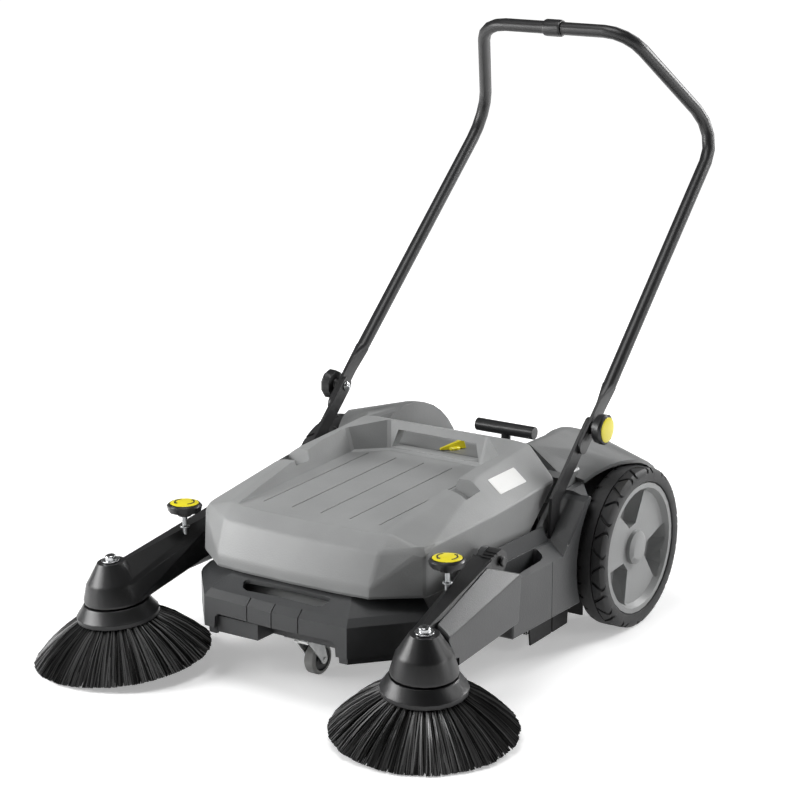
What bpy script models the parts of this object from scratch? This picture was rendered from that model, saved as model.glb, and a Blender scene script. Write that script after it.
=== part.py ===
"""Walk behind sweeper with two side brushes, a lift-out waste container and a folding push handle.

Metres, +Z up. The machine drives towards -Y, and the origin lies on the floor under the middle of its box.
"""
from math import asin, atan, cos, hypot, pi, radians, sin, sqrt, tan

import bmesh
import bpy
from mathutils import Matrix, Vector

# Clearances
GAP = 0.0003
RUNNING = 0.0004

# Chassis frame, whose half width places everything across the machine
BODY_HALF_WIDTH = 0.249
FRAME_WALL = 0.006
FRAME_BOTTOM = 0.080
FRAME_TOP = 0.128
BODY_REAR_Y = 0.392
BEAM_BOTTOM = 0.0795
BEAM_TOP = 0.096
SKIRT_BOTTOM = 0.012
SKIRT_SLIT = 0.004
SEAL_THICKNESS = 0.004

# Wheels and axle
WHEEL_RADIUS = 0.144
TYRE_WIDTH = 0.058
TYRE_DEPTH = 0.026
WHEEL_STAND_OFF = 0.033
AXLE_Y = 0.200
AXLE_RADIUS = 0.008
HUB_RADIUS = 0.030
RIM_LIP = 0.009
POCKET_COUNT = 3
POCKET_TURN = radians(72)
TREAD_COUNT = 22
TREAD_DEPTH = 0.005
WHEEL_STEPS = 30

# Gear drive from the right wheel to the roller
GEAR_MODULE = 0.00667
WHEEL_TEETH = 33
ROLLER_TEETH = 12
GEAR_WIDTH = 0.011
GEAR_STAND_OFF = 0.019

# Sweeping roller
ROLLER_RADIUS = 0.106
ROLLER_FLOOR_GAP = 0.0019
ROLLER_CORE_RADIUS = 0.040
ROLLER_ROWS = 10
ROLLER_END_ROOM = 0.021
SHAFT_RADIUS = 0.008
BEARING_RADIUS = 0.018

# Front bumper: half of its plan outline as set-in from the body's side and run-back from the nose, then its band
NOSE_Y = -0.440
CORNER_SET_IN = 0.104
CORNER_BACK = 0.008
CHEEK_SET_IN = 0.023
CHEEK_BACK = 0.103
CHEEK_END_SET_IN = 0.012
CHEEK_END_BACK = 0.122
BUMPER_BOTTOM = 0.093
BUMPER_RIDGE = 0.1455
BUMPER_CHAMFER = 0.012
BUMPER_WALL = 0.008
LEDGE_DEPTH = 0.055
GRIP_SLOT_HALF = 0.087
NOTCH_HALF = 0.126
NOTCH_TOP = 0.119
SEAM_PITCH = 0.052

# Waste container with its hood
HOOD_BOTTOM = 0.1803
HOOD_SKIRT = 0.020
HOOD_SET_IN = 0.009
HOOD_BOW = 0.008
HOOD_REAR_Y = 0.088
CREST_REAR_Z = 0.338
CREST_FRONT_Z = 0.281
SHOULDER_REAR_Z = 0.287
SHOULDER_FRONT_Z = 0.262
TRAY_SET_IN = 0.101
TRAY_FRONT_Z = 0.278
TRAY_REAR_Z = 0.2925
TRAY_REAR_Y = 0.048
TRAY_GROOVES = 5
GRAB_HALF_WIDTH = 0.092
GRAB_HEIGHT = 0.032
FINGER_NOTCH_Y = -0.140
FINGER_NOTCH_LENGTH = 0.050
BIN_SET_IN = 0.021
BIN_WALL = 0.004

# Rear housing and fenders
DECK_Z = 0.294
DECK_WALL = 0.007
DECK_BREAK_Y = 0.155
DECK_FALL = 0.24
FENDER_SET_IN = 0.092
FENDER_LIFT = 0.047
FENDER_LIP_LIFT = 0.011
FENDER_LIP_GAP = 0.0045
FENDER_REACH_FRONT = 0.0155
FENDER_REACH = 0.061
FENDER_FLARE = radians(42)
FENDER_FRONT = radians(121)
FENDER_REAR = radians(16)
FENDER_STEPS = 12

# Side pods
ARCH_GAP = 0.016
POD_WIDTH = 0.051
POD_FRONT_Y = -0.172
POD_BOTTOM = 0.0775
POD_LEDGE_Z = 0.196
POD_CHAMFER = 0.017
POD_SHELF_Z = 0.221
POD_SEAM_Y = -0.045

# Side brush arms
HINGE_Y = -0.190
HINGE_Z = 0.218
PIN_RADIUS = 0.005
KNUCKLE_RADIUS = 0.020
KNUCKLE_STAND_OFF = 0.015
KNUCKLE_WIDTH = 0.022

# Side brushes: the axis meets the floor here and leans forward and out
BRUSH_STAND_OFF = 0.057
BRUSH_Y = -0.450
LEAN_FORWARD = radians(5.0)
LEAN_OUT = radians(3.4)
BRUSH_RADIUS = 0.1548
HUB_RING_RADIUS = 0.071
BRISTLE_SECTORS = 50
BRISTLE_ROWS = 3
SPINDLE_RADIUS = 0.008
HUB_BOTTOM = 0.0855
HUB_HEIGHT = 0.028
CUP_TOP = 0.184

# Height adjusters on the arms
ADJUSTER_STAND_OFF = 0.0195
ADJUSTER_Y = -0.326
ADJUSTER_KNOB_Z = 0.236
SCREW_RADIUS = 0.0045
KNOB_RADIUS = 0.031
KNOB_HEIGHT = 0.022
CAP_SHARE = 0.80
KNOB_LOBES = 10
KNOB_STEPS = 20

# Push handle: its pivot is above the top of the wheels, and its corners are given out from the body's side,
# then back and up from the pivot
PIVOT_Y = 0.141
PIVOT_RISE = 0.080
BRACKET_STAND_OFF = 0.007
BAR_THICKNESS = 0.006
BAR_WIDTH = 0.028
HANDLE_RADIUS = 0.012
HANDLE_BEND_REACH = (0.0037, 0.4785, 0.4540)
HANDLE_TOP_REACH = (-0.0966, 0.3048, 0.6495)
BEND_RADIUS = 0.070
CLAMP_RADIUS = 0.028
CLAMP_HEIGHT = 0.028

# Front caster
CASTER_SWIVEL_Y = -0.341
CASTER_TRAIL = 0.030
CASTER_RADIUS = 0.0275
CASTER_WIDTH = 0.022

# Worked out from the sizes above
WHEEL_INNER_X = BODY_HALF_WIDTH + WHEEL_STAND_OFF
WHEEL_OUTER_X = WHEEL_INNER_X + TYRE_WIDTH
RIM_RADIUS = WHEEL_RADIUS - TYRE_DEPTH
WHEEL_GEAR_RADIUS = GEAR_MODULE * WHEEL_TEETH / 2
ROLLER_GEAR_RADIUS = GEAR_MODULE * ROLLER_TEETH / 2
DRIVE_CENTRES = WHEEL_GEAR_RADIUS + ROLLER_GEAR_RADIUS
ROLLER_Z = ROLLER_RADIUS + ROLLER_FLOOR_GAP
DRIVE_SLOPE = asin((WHEEL_RADIUS - ROLLER_Z) / DRIVE_CENTRES)
ROLLER_Y = AXLE_Y - DRIVE_CENTRES * cos(DRIVE_SLOPE)
ROLLER_HALF_LENGTH = BODY_HALF_WIDTH - ROLLER_END_ROOM
GEAR_INNER_X = BODY_HALF_WIDTH + GEAR_STAND_OFF
CORNER = (BODY_HALF_WIDTH - CORNER_SET_IN, NOSE_Y + CORNER_BACK)
CHEEK = (BODY_HALF_WIDTH - CHEEK_SET_IN, NOSE_Y + CHEEK_BACK)
CHEEK_END = (BODY_HALF_WIDTH - CHEEK_END_SET_IN, NOSE_Y + CHEEK_END_BACK)
HOOD_HALF_WIDTH = BODY_HALF_WIDTH - HOOD_SET_IN
BIN_HALF_WIDTH = BODY_HALF_WIDTH - BIN_SET_IN
TRAY_HALF_WIDTH = BODY_HALF_WIDTH - TRAY_SET_IN
FENDER_INNER_X = BODY_HALF_WIDTH - FENDER_SET_IN
ARCH_RADIUS = WHEEL_RADIUS + ARCH_GAP
POD_INNER_X = BODY_HALF_WIDTH + GAP
POD_OUTER_X = BODY_HALF_WIDTH + POD_WIDTH
KNUCKLE_INNER_X = BODY_HALF_WIDTH + KNUCKLE_STAND_OFF
KNUCKLE_OUTER_X = KNUCKLE_INNER_X + KNUCKLE_WIDTH
BRUSH_X = BODY_HALF_WIDTH + BRUSH_STAND_OFF
CUP_BOTTOM = HUB_BOTTOM + HUB_HEIGHT + 0.004
ADJUSTER_X = BODY_HALF_WIDTH + ADJUSTER_STAND_OFF
BRACKET_X = BODY_HALF_WIDTH + BRACKET_STAND_OFF
BRACKET_OUTER_X = BRACKET_X + BAR_THICKNESS
TAB_X = BRACKET_OUTER_X + RUNNING
TAB_OUTER_X = TAB_X + BAR_THICKNESS
PIVOT_Z = 2 * WHEEL_RADIUS + PIVOT_RISE
LEAN = atan(hypot(tan(LEAN_FORWARD), tan(LEAN_OUT)))

SIDES = {"left": -1, "right": 1}


def clear_scene():
    for old in list(bpy.data.objects):
        bpy.data.objects.remove(old, do_unlink=True)


def new_collection(name):
    collection = bpy.data.collections.new(name)
    bpy.context.scene.collection.children.link(collection)
    return collection


def material(name, colour, roughness, metallic=0.0):
    made = bpy.data.materials.new(name)
    made.use_nodes = True
    shader = made.node_tree.nodes["Principled BSDF"]
    shader.inputs["Base Color"].default_value = (*colour, 1.0)
    shader.inputs["Roughness"].default_value = roughness
    shader.inputs["Metallic"].default_value = metallic
    return made


def mirrored(side, points):
    return [(side * x, y, z) for x, y, z in points]


def both_sides(points):
    return mirrored(1, points) + mirrored(-1, points)


# Objects and modifiers


def link(name, mesh, finish, place=None):
    piece = bpy.data.objects.new(name, mesh)
    PARTS.objects.link(piece)
    if place is not None:
        piece.matrix_world = place
    mesh.materials.clear()
    if finish is not None:
        mesh.materials.append(finish)
    return piece


def mesh_from(bm, name):
    bmesh.ops.recalc_face_normals(bm, faces=bm.faces)
    mesh = bpy.data.meshes.new(name)
    bm.to_mesh(mesh)
    bm.free()
    return mesh


def hull(name, points, finish=None):
    """Faceted moulding: the convex hull of its corner points, with flat faces merged."""
    bm = bmesh.new()
    for point in points:
        bm.verts.new(point)
    made = bmesh.ops.convex_hull(bm, input=bm.verts)
    spare = [v for v in made["geom_interior"] if isinstance(v, bmesh.types.BMVert)]
    bmesh.ops.delete(bm, geom=spare, context="VERTS")
    bmesh.ops.dissolve_limit(bm, angle_limit=radians(0.5), verts=bm.verts, edges=bm.edges)
    return link(name, mesh_from(bm, name), finish)


def loft(name, rings, finish=None, place=None):
    """Skin over a row of closed rings that have the same number of points, capped at both ends."""
    bm = bmesh.new()
    rows = [[bm.verts.new(point) for point in ring] for ring in rings]
    count = len(rows[0])
    for row, following in zip(rows, rows[1:]):
        for i in range(count):
            j = (i + 1) % count
            bm.faces.new((row[i], row[j], following[j], following[i]))
    bm.faces.new(rows[0])
    bm.faces.new(rows[-1])
    return link(name, mesh_from(bm, name), finish, place)


def turned(name, profile, steps, finish=None, place=None, closed=False):
    """Profile of (radius, height), from the top down its outer side, turned about local Z."""
    mesh = bpy.data.meshes.new(name)
    edges = [(i, i + 1) for i in range(len(profile) - 1)]
    if closed:
        edges.append((len(profile) - 1, 0))
    mesh.from_pydata([(r, 0, z) for r, z in profile], edges, [])
    piece = link(name, mesh, finish, place)
    screw = piece.modifiers.new("Turn", "SCREW")
    screw.steps = screw.render_steps = steps
    screw.use_merge_vertices = True
    screw.merge_threshold = 0.00001
    return piece


def outline_mesh(name, outlines, thickness):
    """Flat outlines filled and extruded to a thickness, centred on local Z."""
    curve = bpy.data.curves.new(name, "CURVE")
    curve.dimensions = "2D"
    curve.fill_mode = "BOTH"
    curve.extrude = thickness / 2
    for outline in outlines:
        spline = curve.splines.new("POLY")
        spline.points.add(len(outline) - 1)
        for point, (u, v) in zip(spline.points, outline):
            point.co = (u, v, 0, 1)
        spline.use_cyclic_u = True
    return solid_from_curve(name, curve)


def solid_from_curve(name, curve):
    guide = bpy.data.objects.new(name, curve)
    bpy.context.scene.collection.objects.link(guide)
    seen = guide.evaluated_get(bpy.context.evaluated_depsgraph_get())
    mesh = bpy.data.meshes.new_from_object(seen)
    bpy.data.objects.remove(guide)
    bm = bmesh.new()
    bm.from_mesh(mesh)
    bmesh.ops.remove_doubles(bm, verts=bm.verts, dist=0.00001)
    bpy.data.meshes.remove(mesh)
    return mesh_from(bm, name)


ALONG_X = Matrix(((0, 0, 1), (1, 0, 0), (0, 1, 0))).to_4x4()
ALONG_Y = Matrix(((1, 0, 0), (0, 0, -1), (0, 1, 0))).to_4x4()
ALONG_Z = Matrix.Identity(4)


def plate(name, outlines, start, end, axis=ALONG_X, finish=None):
    """Outline extruded from start to end: (y, z) along X, (x, z) along Y or (x, y) along Z."""
    mesh = outline_mesh(name, outlines, abs(end - start))
    direction = axis.to_3x3() @ Vector((0, 0, 1))
    middle = (start + end) / 2
    sign = direction.x + direction.y + direction.z
    mesh.transform(Matrix.Translation(direction * middle * sign) @ axis)
    return link(name, mesh, finish)


def tube(name, points, radius, sides, finish=None):
    curve = bpy.data.curves.new(name, "CURVE")
    curve.dimensions = "3D"
    curve.bevel_depth = radius
    curve.bevel_resolution = sides // 2 - 2
    curve.use_fill_caps = True
    spline = curve.splines.new("POLY")
    spline.points.add(len(points) - 1)
    for point, spot in zip(spline.points, points):
        point.co = (*spot, 1)
    return link(name, solid_from_curve(name, curve), finish)


def rod(name, start, end, radius, steps=20, finish=None):
    """Straight round bar between two points."""
    start = Vector(start)
    along = Vector(end) - start
    profile = [(0, along.length), (radius, along.length), (radius, 0), (0, 0)]
    place = Matrix.Translation(start) @ along.to_track_quat("Z", "Y").to_matrix().to_4x4()
    return turned(name, profile, steps, finish, place)


def set_aside(cutter):
    PARTS.objects.unlink(cutter)
    CUTTERS.objects.link(cutter)
    cutter.hide_render = True
    cutter.display_type = "WIRE"


def combine(target, other, operation):
    set_aside(other)
    boolean = target.modifiers.new(operation.title(), "BOOLEAN")
    boolean.operation = operation
    boolean.object = other


def cut(target, *cutters):
    for cutter in cutters:
        combine(target, cutter, "DIFFERENCE")


def fuse(target, *others):
    for other in others:
        combine(target, other, "UNION")


def round_edges(piece, width, angle=25, segments=2):
    bevel = piece.modifiers.new("Edges", "BEVEL")
    bevel.width = width
    bevel.segments = segments
    bevel.limit_method = "ANGLE"
    bevel.angle_limit = radians(angle)
    bevel.use_clamp_overlap = True


def pivot(name, place):
    empty = bpy.data.objects.new(name, None)
    empty.empty_display_size = 0.04
    empty.matrix_world = place
    PARTS.objects.link(empty)
    bpy.context.view_layer.update()
    return empty


def carry(empty, *pieces):
    """Parents pieces to the empty on their joint's axis, without moving them."""
    bpy.context.view_layer.update()
    for piece in pieces:
        stay = piece.matrix_world.copy()
        piece.parent = empty
        piece.matrix_parent_inverse = empty.matrix_world.inverted()
        piece.matrix_world = stay


# Outlines


def arc(centre, radius, start, end, count):
    steps = [start + (end - start) * i / (count - 1) for i in range(count)]
    return [(centre[0] + radius * cos(a), centre[1] + radius * sin(a)) for a in steps]


def circle(radius, count):
    return [(radius * cos(2 * pi * i / count), radius * sin(2 * pi * i / count)) for i in range(count)]


def offset_path(path, distance):
    """Open path of (x, y) moved to its left by a distance, with mitred corners."""
    moved = []
    for i, (x, y) in enumerate(path):
        ways = []
        if i > 0:
            ways.append((x - path[i - 1][0], y - path[i - 1][1]))
        if i < len(path) - 1:
            ways.append((path[i + 1][0] - x, path[i + 1][1] - y))
        normals = [Vector((-dy, dx)).normalized() for dx, dy in ways]
        middle = sum(normals, Vector((0, 0))).normalized()
        reach = distance / middle.dot(normals[0])
        moved.append((x + middle.x * reach, y + middle.y * reach))
    return moved


def strip(path, width, end_steps=6):
    """Outline of a flat bar that follows a path, with a round end at its last point."""
    left = offset_path(path, width / 2)
    right = offset_path(path, -width / 2)
    (x0, y0), (x1, y1) = path[-2:]
    heading = Vector((x1 - x0, y1 - y0)).angle_signed(Vector((1, 0)))
    tip = arc(path[-1], width / 2, heading - pi / 2, heading + pi / 2, end_steps + 1)
    return right[:-1] + tip + left[-2::-1]


def rounded_route(points, radius, count):
    """Route through corner points with each inner corner replaced by an arc."""
    corners = [Vector(p) for p in points]
    route = [corners[0]]
    for before, corner, after in zip(corners, corners[1:], corners[2:]):
        to_before = (before - corner).normalized()
        to_after = (after - corner).normalized()
        half = to_before.angle(to_after) / 2
        inward = (to_before + to_after).normalized()
        centre = corner + inward * (radius / sin(half))
        first = corner + to_before * (radius / tan(half)) - centre
        last = corner + to_after * (radius / tan(half)) - centre
        for i in range(count):
            t = i / (count - 1)
            route.append(centre + spread(first, last, t))
    route.append(corners[-1])
    return route


def spread(first, last, t):
    """Point at share t of the arc from one radius vector to another."""
    angle = first.angle(last)
    return first * (sin((1 - t) * angle) / sin(angle)) + last * (sin(t * angle) / sin(angle))


def gear_outline(teeth, phase=0.0):
    """Spur gear of straight-sided teeth with room to run."""
    pitch_radius = GEAR_MODULE * teeth / 2
    tip = pitch_radius + 0.80 * GEAR_MODULE
    root = pitch_radius - 1.05 * GEAR_MODULE
    pitch = 2 * pi / teeth
    outline = []
    for i in range(teeth):
        middle = phase + i * pitch
        for radius, share in ((root, -0.30), (tip, -0.10), (tip, 0.10), (root, 0.30)):
            turn = middle + share * pitch
            outline.append((radius * cos(turn), radius * sin(turn)))
    return outline


def about_axle(radius, angle):
    return AXLE_Y + radius * cos(angle), WHEEL_RADIUS + radius * sin(angle)


def tray_floor(y):
    front = NOSE_Y + 0.095
    return TRAY_FRONT_Z + (TRAY_REAR_Z - TRAY_FRONT_Z) * (y - front) / (TRAY_REAR_Y - front)


# Plan of the front bumper, from the left end to the right end
HALF_PLAN = [(0.0, NOSE_Y), CORNER, CHEEK, CHEEK_END]
BUMPER_PLAN = [(-x, y) for x, y in HALF_PLAN[:0:-1]] + HALF_PLAN


# Chassis


def chassis_frame():
    front = offset_path(BUMPER_PLAN, BUMPER_WALL + GAP)
    inner_front = offset_path(BUMPER_PLAN, BUMPER_WALL + GAP + FRAME_WALL)
    side_y = CHEEK_END[1] + 0.032
    outer = front + [(BODY_HALF_WIDTH, side_y), (BODY_HALF_WIDTH, BODY_REAR_Y)]
    outer += [(-BODY_HALF_WIDTH, BODY_REAR_Y), (-BODY_HALF_WIDTH, side_y)]
    inside = BODY_HALF_WIDTH - FRAME_WALL
    inner = inner_front + [(inside, side_y), (inside, BODY_REAR_Y - FRAME_WALL)]
    inner += [(-inside, BODY_REAR_Y - FRAME_WALL), (-inside, side_y)]
    frame = plate("chassis_frame", [outer, inner], FRAME_BOTTOM, FRAME_TOP, ALONG_Z, DARK_PLASTIC)
    reach = inside + FRAME_WALL / 2
    corner, cheek, cheek_end = offset_path(BUMPER_PLAN, BUMPER_WALL + GAP + FRAME_WALL / 2)[-3:]
    start = Vector(corner).lerp(Vector(cheek), 0.55)
    plan = [tuple(start), cheek_end, (BODY_HALF_WIDTH - 0.059, CASTER_SWIVEL_Y + 0.050)]
    beam = hull("caster_beam", both_sides([(x, y, z) for x, y in plan for z in (BEAM_BOTTOM, BEAM_TOP)]))
    seal_y = ROLLER_Y + ROLLER_RADIUS + 0.012
    rear_points = [(x, y, z) for x in (-reach, reach) for y in (seal_y, seal_y + 0.018)
                   for z in (FRAME_BOTTOM + 0.0005, BEAM_TOP - 0.006)]
    rear_beam = hull("seal_beam", rear_points)
    fuse(frame, beam, rear_beam)
    cut(frame, front_notch("frame_notch", CORNER_BACK + FRAME_WALL + BUMPER_WALL + 0.004))
    wall_y = NOSE_Y + 0.056
    shelf = [(x, y, z) for x in (-0.130, 0.0, 0.130) for y in (nose_line(x) + 0.0115, wall_y + 0.008)
             for z in (NOTCH_TOP + 0.0025, FRAME_TOP - 0.0005)]
    apron = [(x, y, z) for x in (-0.128, 0.128) for y in (wall_y, wall_y + 0.0095)
             for z in (BEAM_BOTTOM + 0.007, FRAME_TOP - 0.002)]
    sill = [(x, y, z) for x in (-0.120, 0.120) for y in (wall_y + 0.001, wall_y + 0.020)
            for z in (BEAM_BOTTOM + 0.006, BEAM_TOP - 0.001)]
    block = [(x, y, z) for x in (-0.125, -0.040) for y in (NOSE_Y + 0.016, wall_y + 0.004)
             for z in (FRAME_BOTTOM + 0.004, NOTCH_TOP - 0.007)]
    fuse(frame, hull("notch_shelf", shelf), hull("notch_apron", apron), hull("notch_sill", sill))
    fuse(frame, hull("notch_block", block))
    wide = BODY_HALF_WIDTH + 0.02
    cut(frame, rod("bearing_seats", (-wide, ROLLER_Y, ROLLER_Z), (wide, ROLLER_Y, ROLLER_Z), BEARING_RADIUS, 24))
    return frame


def front_notch(name, depth):
    """Cutter for the opening in the lower front that the caster shows through."""
    corners = [(NOTCH_HALF, FRAME_BOTTOM - 0.010), (NOTCH_HALF - 0.004, NOTCH_TOP - 0.006)]
    corners += [(NOTCH_HALF - 0.010, NOTCH_TOP)]
    return hull(name, both_sides([(x, y, z) for x, z in corners for y in (NOSE_Y - 0.010, NOSE_Y + depth)]))


def front_bumper():
    ridge, edge = BUMPER_RIDGE, BUMPER_CHAMFER
    band = [(0.0, BUMPER_BOTTOM), (0.0, ridge), (edge, ridge + 0.96 * edge)]
    band += [(LEDGE_DEPTH, HOOD_BOTTOM - GAP), (LEDGE_DEPTH, HOOD_BOTTOM - 0.008)]
    band += [(BUMPER_WALL + 0.006, ridge + 0.004), (BUMPER_WALL, ridge - 0.008), (BUMPER_WALL, BUMPER_BOTTOM)]
    lines = [[(x, y, z) for x, y in offset_path(BUMPER_PLAN, depth)] for depth, z in band]
    bumper = loft("front_bumper", list(zip(*lines)), DARK_PLASTIC)
    half = GRIP_SLOT_HALF
    slot_y = NOSE_Y + 0.027
    corners = [(half - 0.016, slot_y), (half - 0.006, slot_y + 0.004), (half, slot_y + 0.013)]
    corners += [(half, slot_y + 0.019), (half - 0.006, slot_y + 0.022)]
    slot = hull("grip_slot", both_sides([(x, y, z) for x, y in corners for z in (ridge - 0.025, HOOD_BOTTOM + 0.02)]))
    cut(bumper, slot, front_notch("bumper_notch", CORNER_BACK + BUMPER_WALL + 0.0045))
    for i in (-1, 0, 1):
        x = i * SEAM_PITCH
        seam = [(-0.004, ridge - 0.040), (0.0015, ridge - 0.040), (0.0015, ridge - 0.0006)]
        seam += [(edge + 0.0011, ridge + 0.96 * edge - 0.0011), (edge - 0.002, ridge + edge + 0.005), (-0.004, ridge + 0.004)]
        outline = [(nose_line(x) + depth, z) for depth, z in seam]
        cut(bumper, plate(f"bumper_seam_{i}", [outline], x - 0.0011, x + 0.0011, ALONG_X))
    return bumper


def nose_line(x):
    """Y of the bumper's bowed front at x."""
    return NOSE_Y + (CORNER[1] - NOSE_Y) * abs(x) / CORNER[0]


def side_skirt(side):
    """Rubber strip under the body's side, slit into two flaps."""
    name = f"side_skirt_{'right' if side > 0 else 'left'}"
    top = FRAME_BOTTOM - GAP
    outer = BODY_HALF_WIDTH - 0.001
    slit = 0.044
    outline = [(-0.034, top), (-0.026, SKIRT_BOTTOM), (slit, SKIRT_BOTTOM + 0.002), (slit, top - 0.012)]
    outline += [(slit + SKIRT_SLIT, top - 0.012), (slit + SKIRT_SLIT, SKIRT_BOTTOM + 0.002)]
    outline += [(0.100, SKIRT_BOTTOM + 0.004), (0.104, top)]
    return plate(name, [outline], side * (outer - SEAL_THICKNESS), side * outer, ALONG_X, RUBBER)


def roller_seal():
    front = ROLLER_Y + ROLLER_RADIUS + 0.012 - GAP
    half = BODY_HALF_WIDTH - FRAME_WALL - 0.004
    outline = [(-half, 0.008), (half, 0.008), (half, BEAM_TOP - 0.010), (-half, BEAM_TOP - 0.010)]
    return plate("roller_seal", [outline], front - SEAL_THICKNESS, front, ALONG_Y, RUBBER)


# Rear housing


def deck_height(y):
    """Top of the deck between the fenders: level, then falling to the rear."""
    return DECK_Z - DECK_FALL * max(0.0, y - DECK_BREAK_Y)


def housing_side():
    """Side outline of the housing between the wheels, from its deck round to its open bottom."""
    top = [(HOOD_REAR_Y - 0.003, DECK_Z), (DECK_BREAK_Y, DECK_Z), (BODY_REAR_Y, deck_height(BODY_REAR_Y))]
    low = FRAME_TOP + GAP
    bottom = [(BODY_REAR_Y, low), (-0.058, low)]
    front = [(-0.048, HOOD_BOTTOM), (0.006, 0.227), (0.077, SHOULDER_REAR_Z)]
    return top + bottom + front


def fender(side):
    """Arch over one wheel: a ridge inboard, a slope that widens to the rear and a thin lip over the tyre."""
    ridge = WHEEL_RADIUS + FENDER_LIFT
    lip = WHEEL_RADIUS + FENDER_LIP_LIFT
    under = WHEEL_RADIUS + FENDER_LIP_GAP
    deep = WHEEL_RADIUS - 0.006
    rings = []
    for i in range(FENDER_STEPS):
        angle = FENDER_FRONT + (FENDER_REAR - FENDER_FRONT) * i / (FENDER_STEPS - 1)
        run = FENDER_FRONT - angle
        flare = min(1.0, run / FENDER_FLARE)
        outer = BODY_HALF_WIDTH + FENDER_REACH_FRONT + (FENDER_REACH - FENDER_REACH_FRONT) * flare
        crease = FENDER_INNER_X + 0.003 + 0.026 * run
        section = [(FENDER_INNER_X, ridge), (crease, ridge - 0.0008), (outer, lip), (outer, under)]
        section += [(BODY_HALF_WIDTH + 0.008, under), (BODY_HALF_WIDTH + 0.003, deep), (FENDER_INNER_X, deep)]
        rings.append([(side * x, *about_axle(r, angle)) for x, r in section])
    return loft(f"fender_{side}", rings)


def shoulder(side):
    """Fill between the back of the hood and one fender, that carries on the hood's side slope."""
    front, rear = HOOD_REAR_Y + 0.002, AXLE_Y
    inner, outer = FENDER_INNER_X + 0.001, BODY_HALF_WIDTH - 0.002
    ridge = WHEEL_RADIUS + FENDER_LIFT + WHEEL_RADIUS - 0.003
    low = DECK_Z - 0.030
    points = [(inner, front, CREST_REAR_Z - 0.006), (inner + 0.015, front, CREST_REAR_Z - 0.004)]
    points += [(outer, front, SHOULDER_REAR_Z - 0.006), (inner, front, low), (outer, front, low)]
    points += [(inner, rear, ridge), (inner + 0.008, rear, ridge), (outer, rear, ridge - 0.022)]
    points += [(inner, rear, low), (outer, rear, low)]
    return hull(f"shoulder_{side}", mirrored(side, points))


def rear_housing():
    half = BODY_HALF_WIDTH - GAP
    housing = plate("rear_housing", [housing_side()], -half, half, ALONG_X, GREY_PLASTIC)
    round_edges(housing, 0.003, angle=30, segments=1)
    room = half - DECK_WALL
    under = [(-0.150, FRAME_TOP - 0.02), (BODY_REAR_Y - DECK_WALL, FRAME_TOP - 0.02)]
    under += [(BODY_REAR_Y - DECK_WALL, deck_height(BODY_REAR_Y - DECK_WALL) - DECK_WALL)]
    under += [(DECK_BREAK_Y, DECK_Z - DECK_WALL), (-0.150, DECK_Z - DECK_WALL)]
    fuse(housing, fender(1), fender(-1), shoulder(1), shoulder(-1))
    cut(housing, plate("housing_room", [under], -room, room, ALONG_X))
    wide = WHEEL_OUTER_X
    axle_hole = rod("axle_hole", (-wide, AXLE_Y, WHEEL_RADIUS), (wide, AXLE_Y, WHEEL_RADIUS), AXLE_RADIUS + GAP)
    cut(housing, axle_hole)
    return housing


def rear_grip():
    """Carrying bar at the tail: a cross bar on one post."""
    bar_y = 0.292
    bar_z = DECK_Z - 0.003
    post_radius = 0.009
    foot = deck_height(bar_y - post_radius) + GAP
    post = rod("grip_post", (0, bar_y, foot), (0, bar_y, bar_z), post_radius, 14)
    bar = tube("rear_grip", [(-0.062, bar_y, bar_z), (0.062, bar_y, bar_z)], 0.012, 14, BLACK_PLASTIC)
    fuse(bar, post)
    return bar


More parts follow.
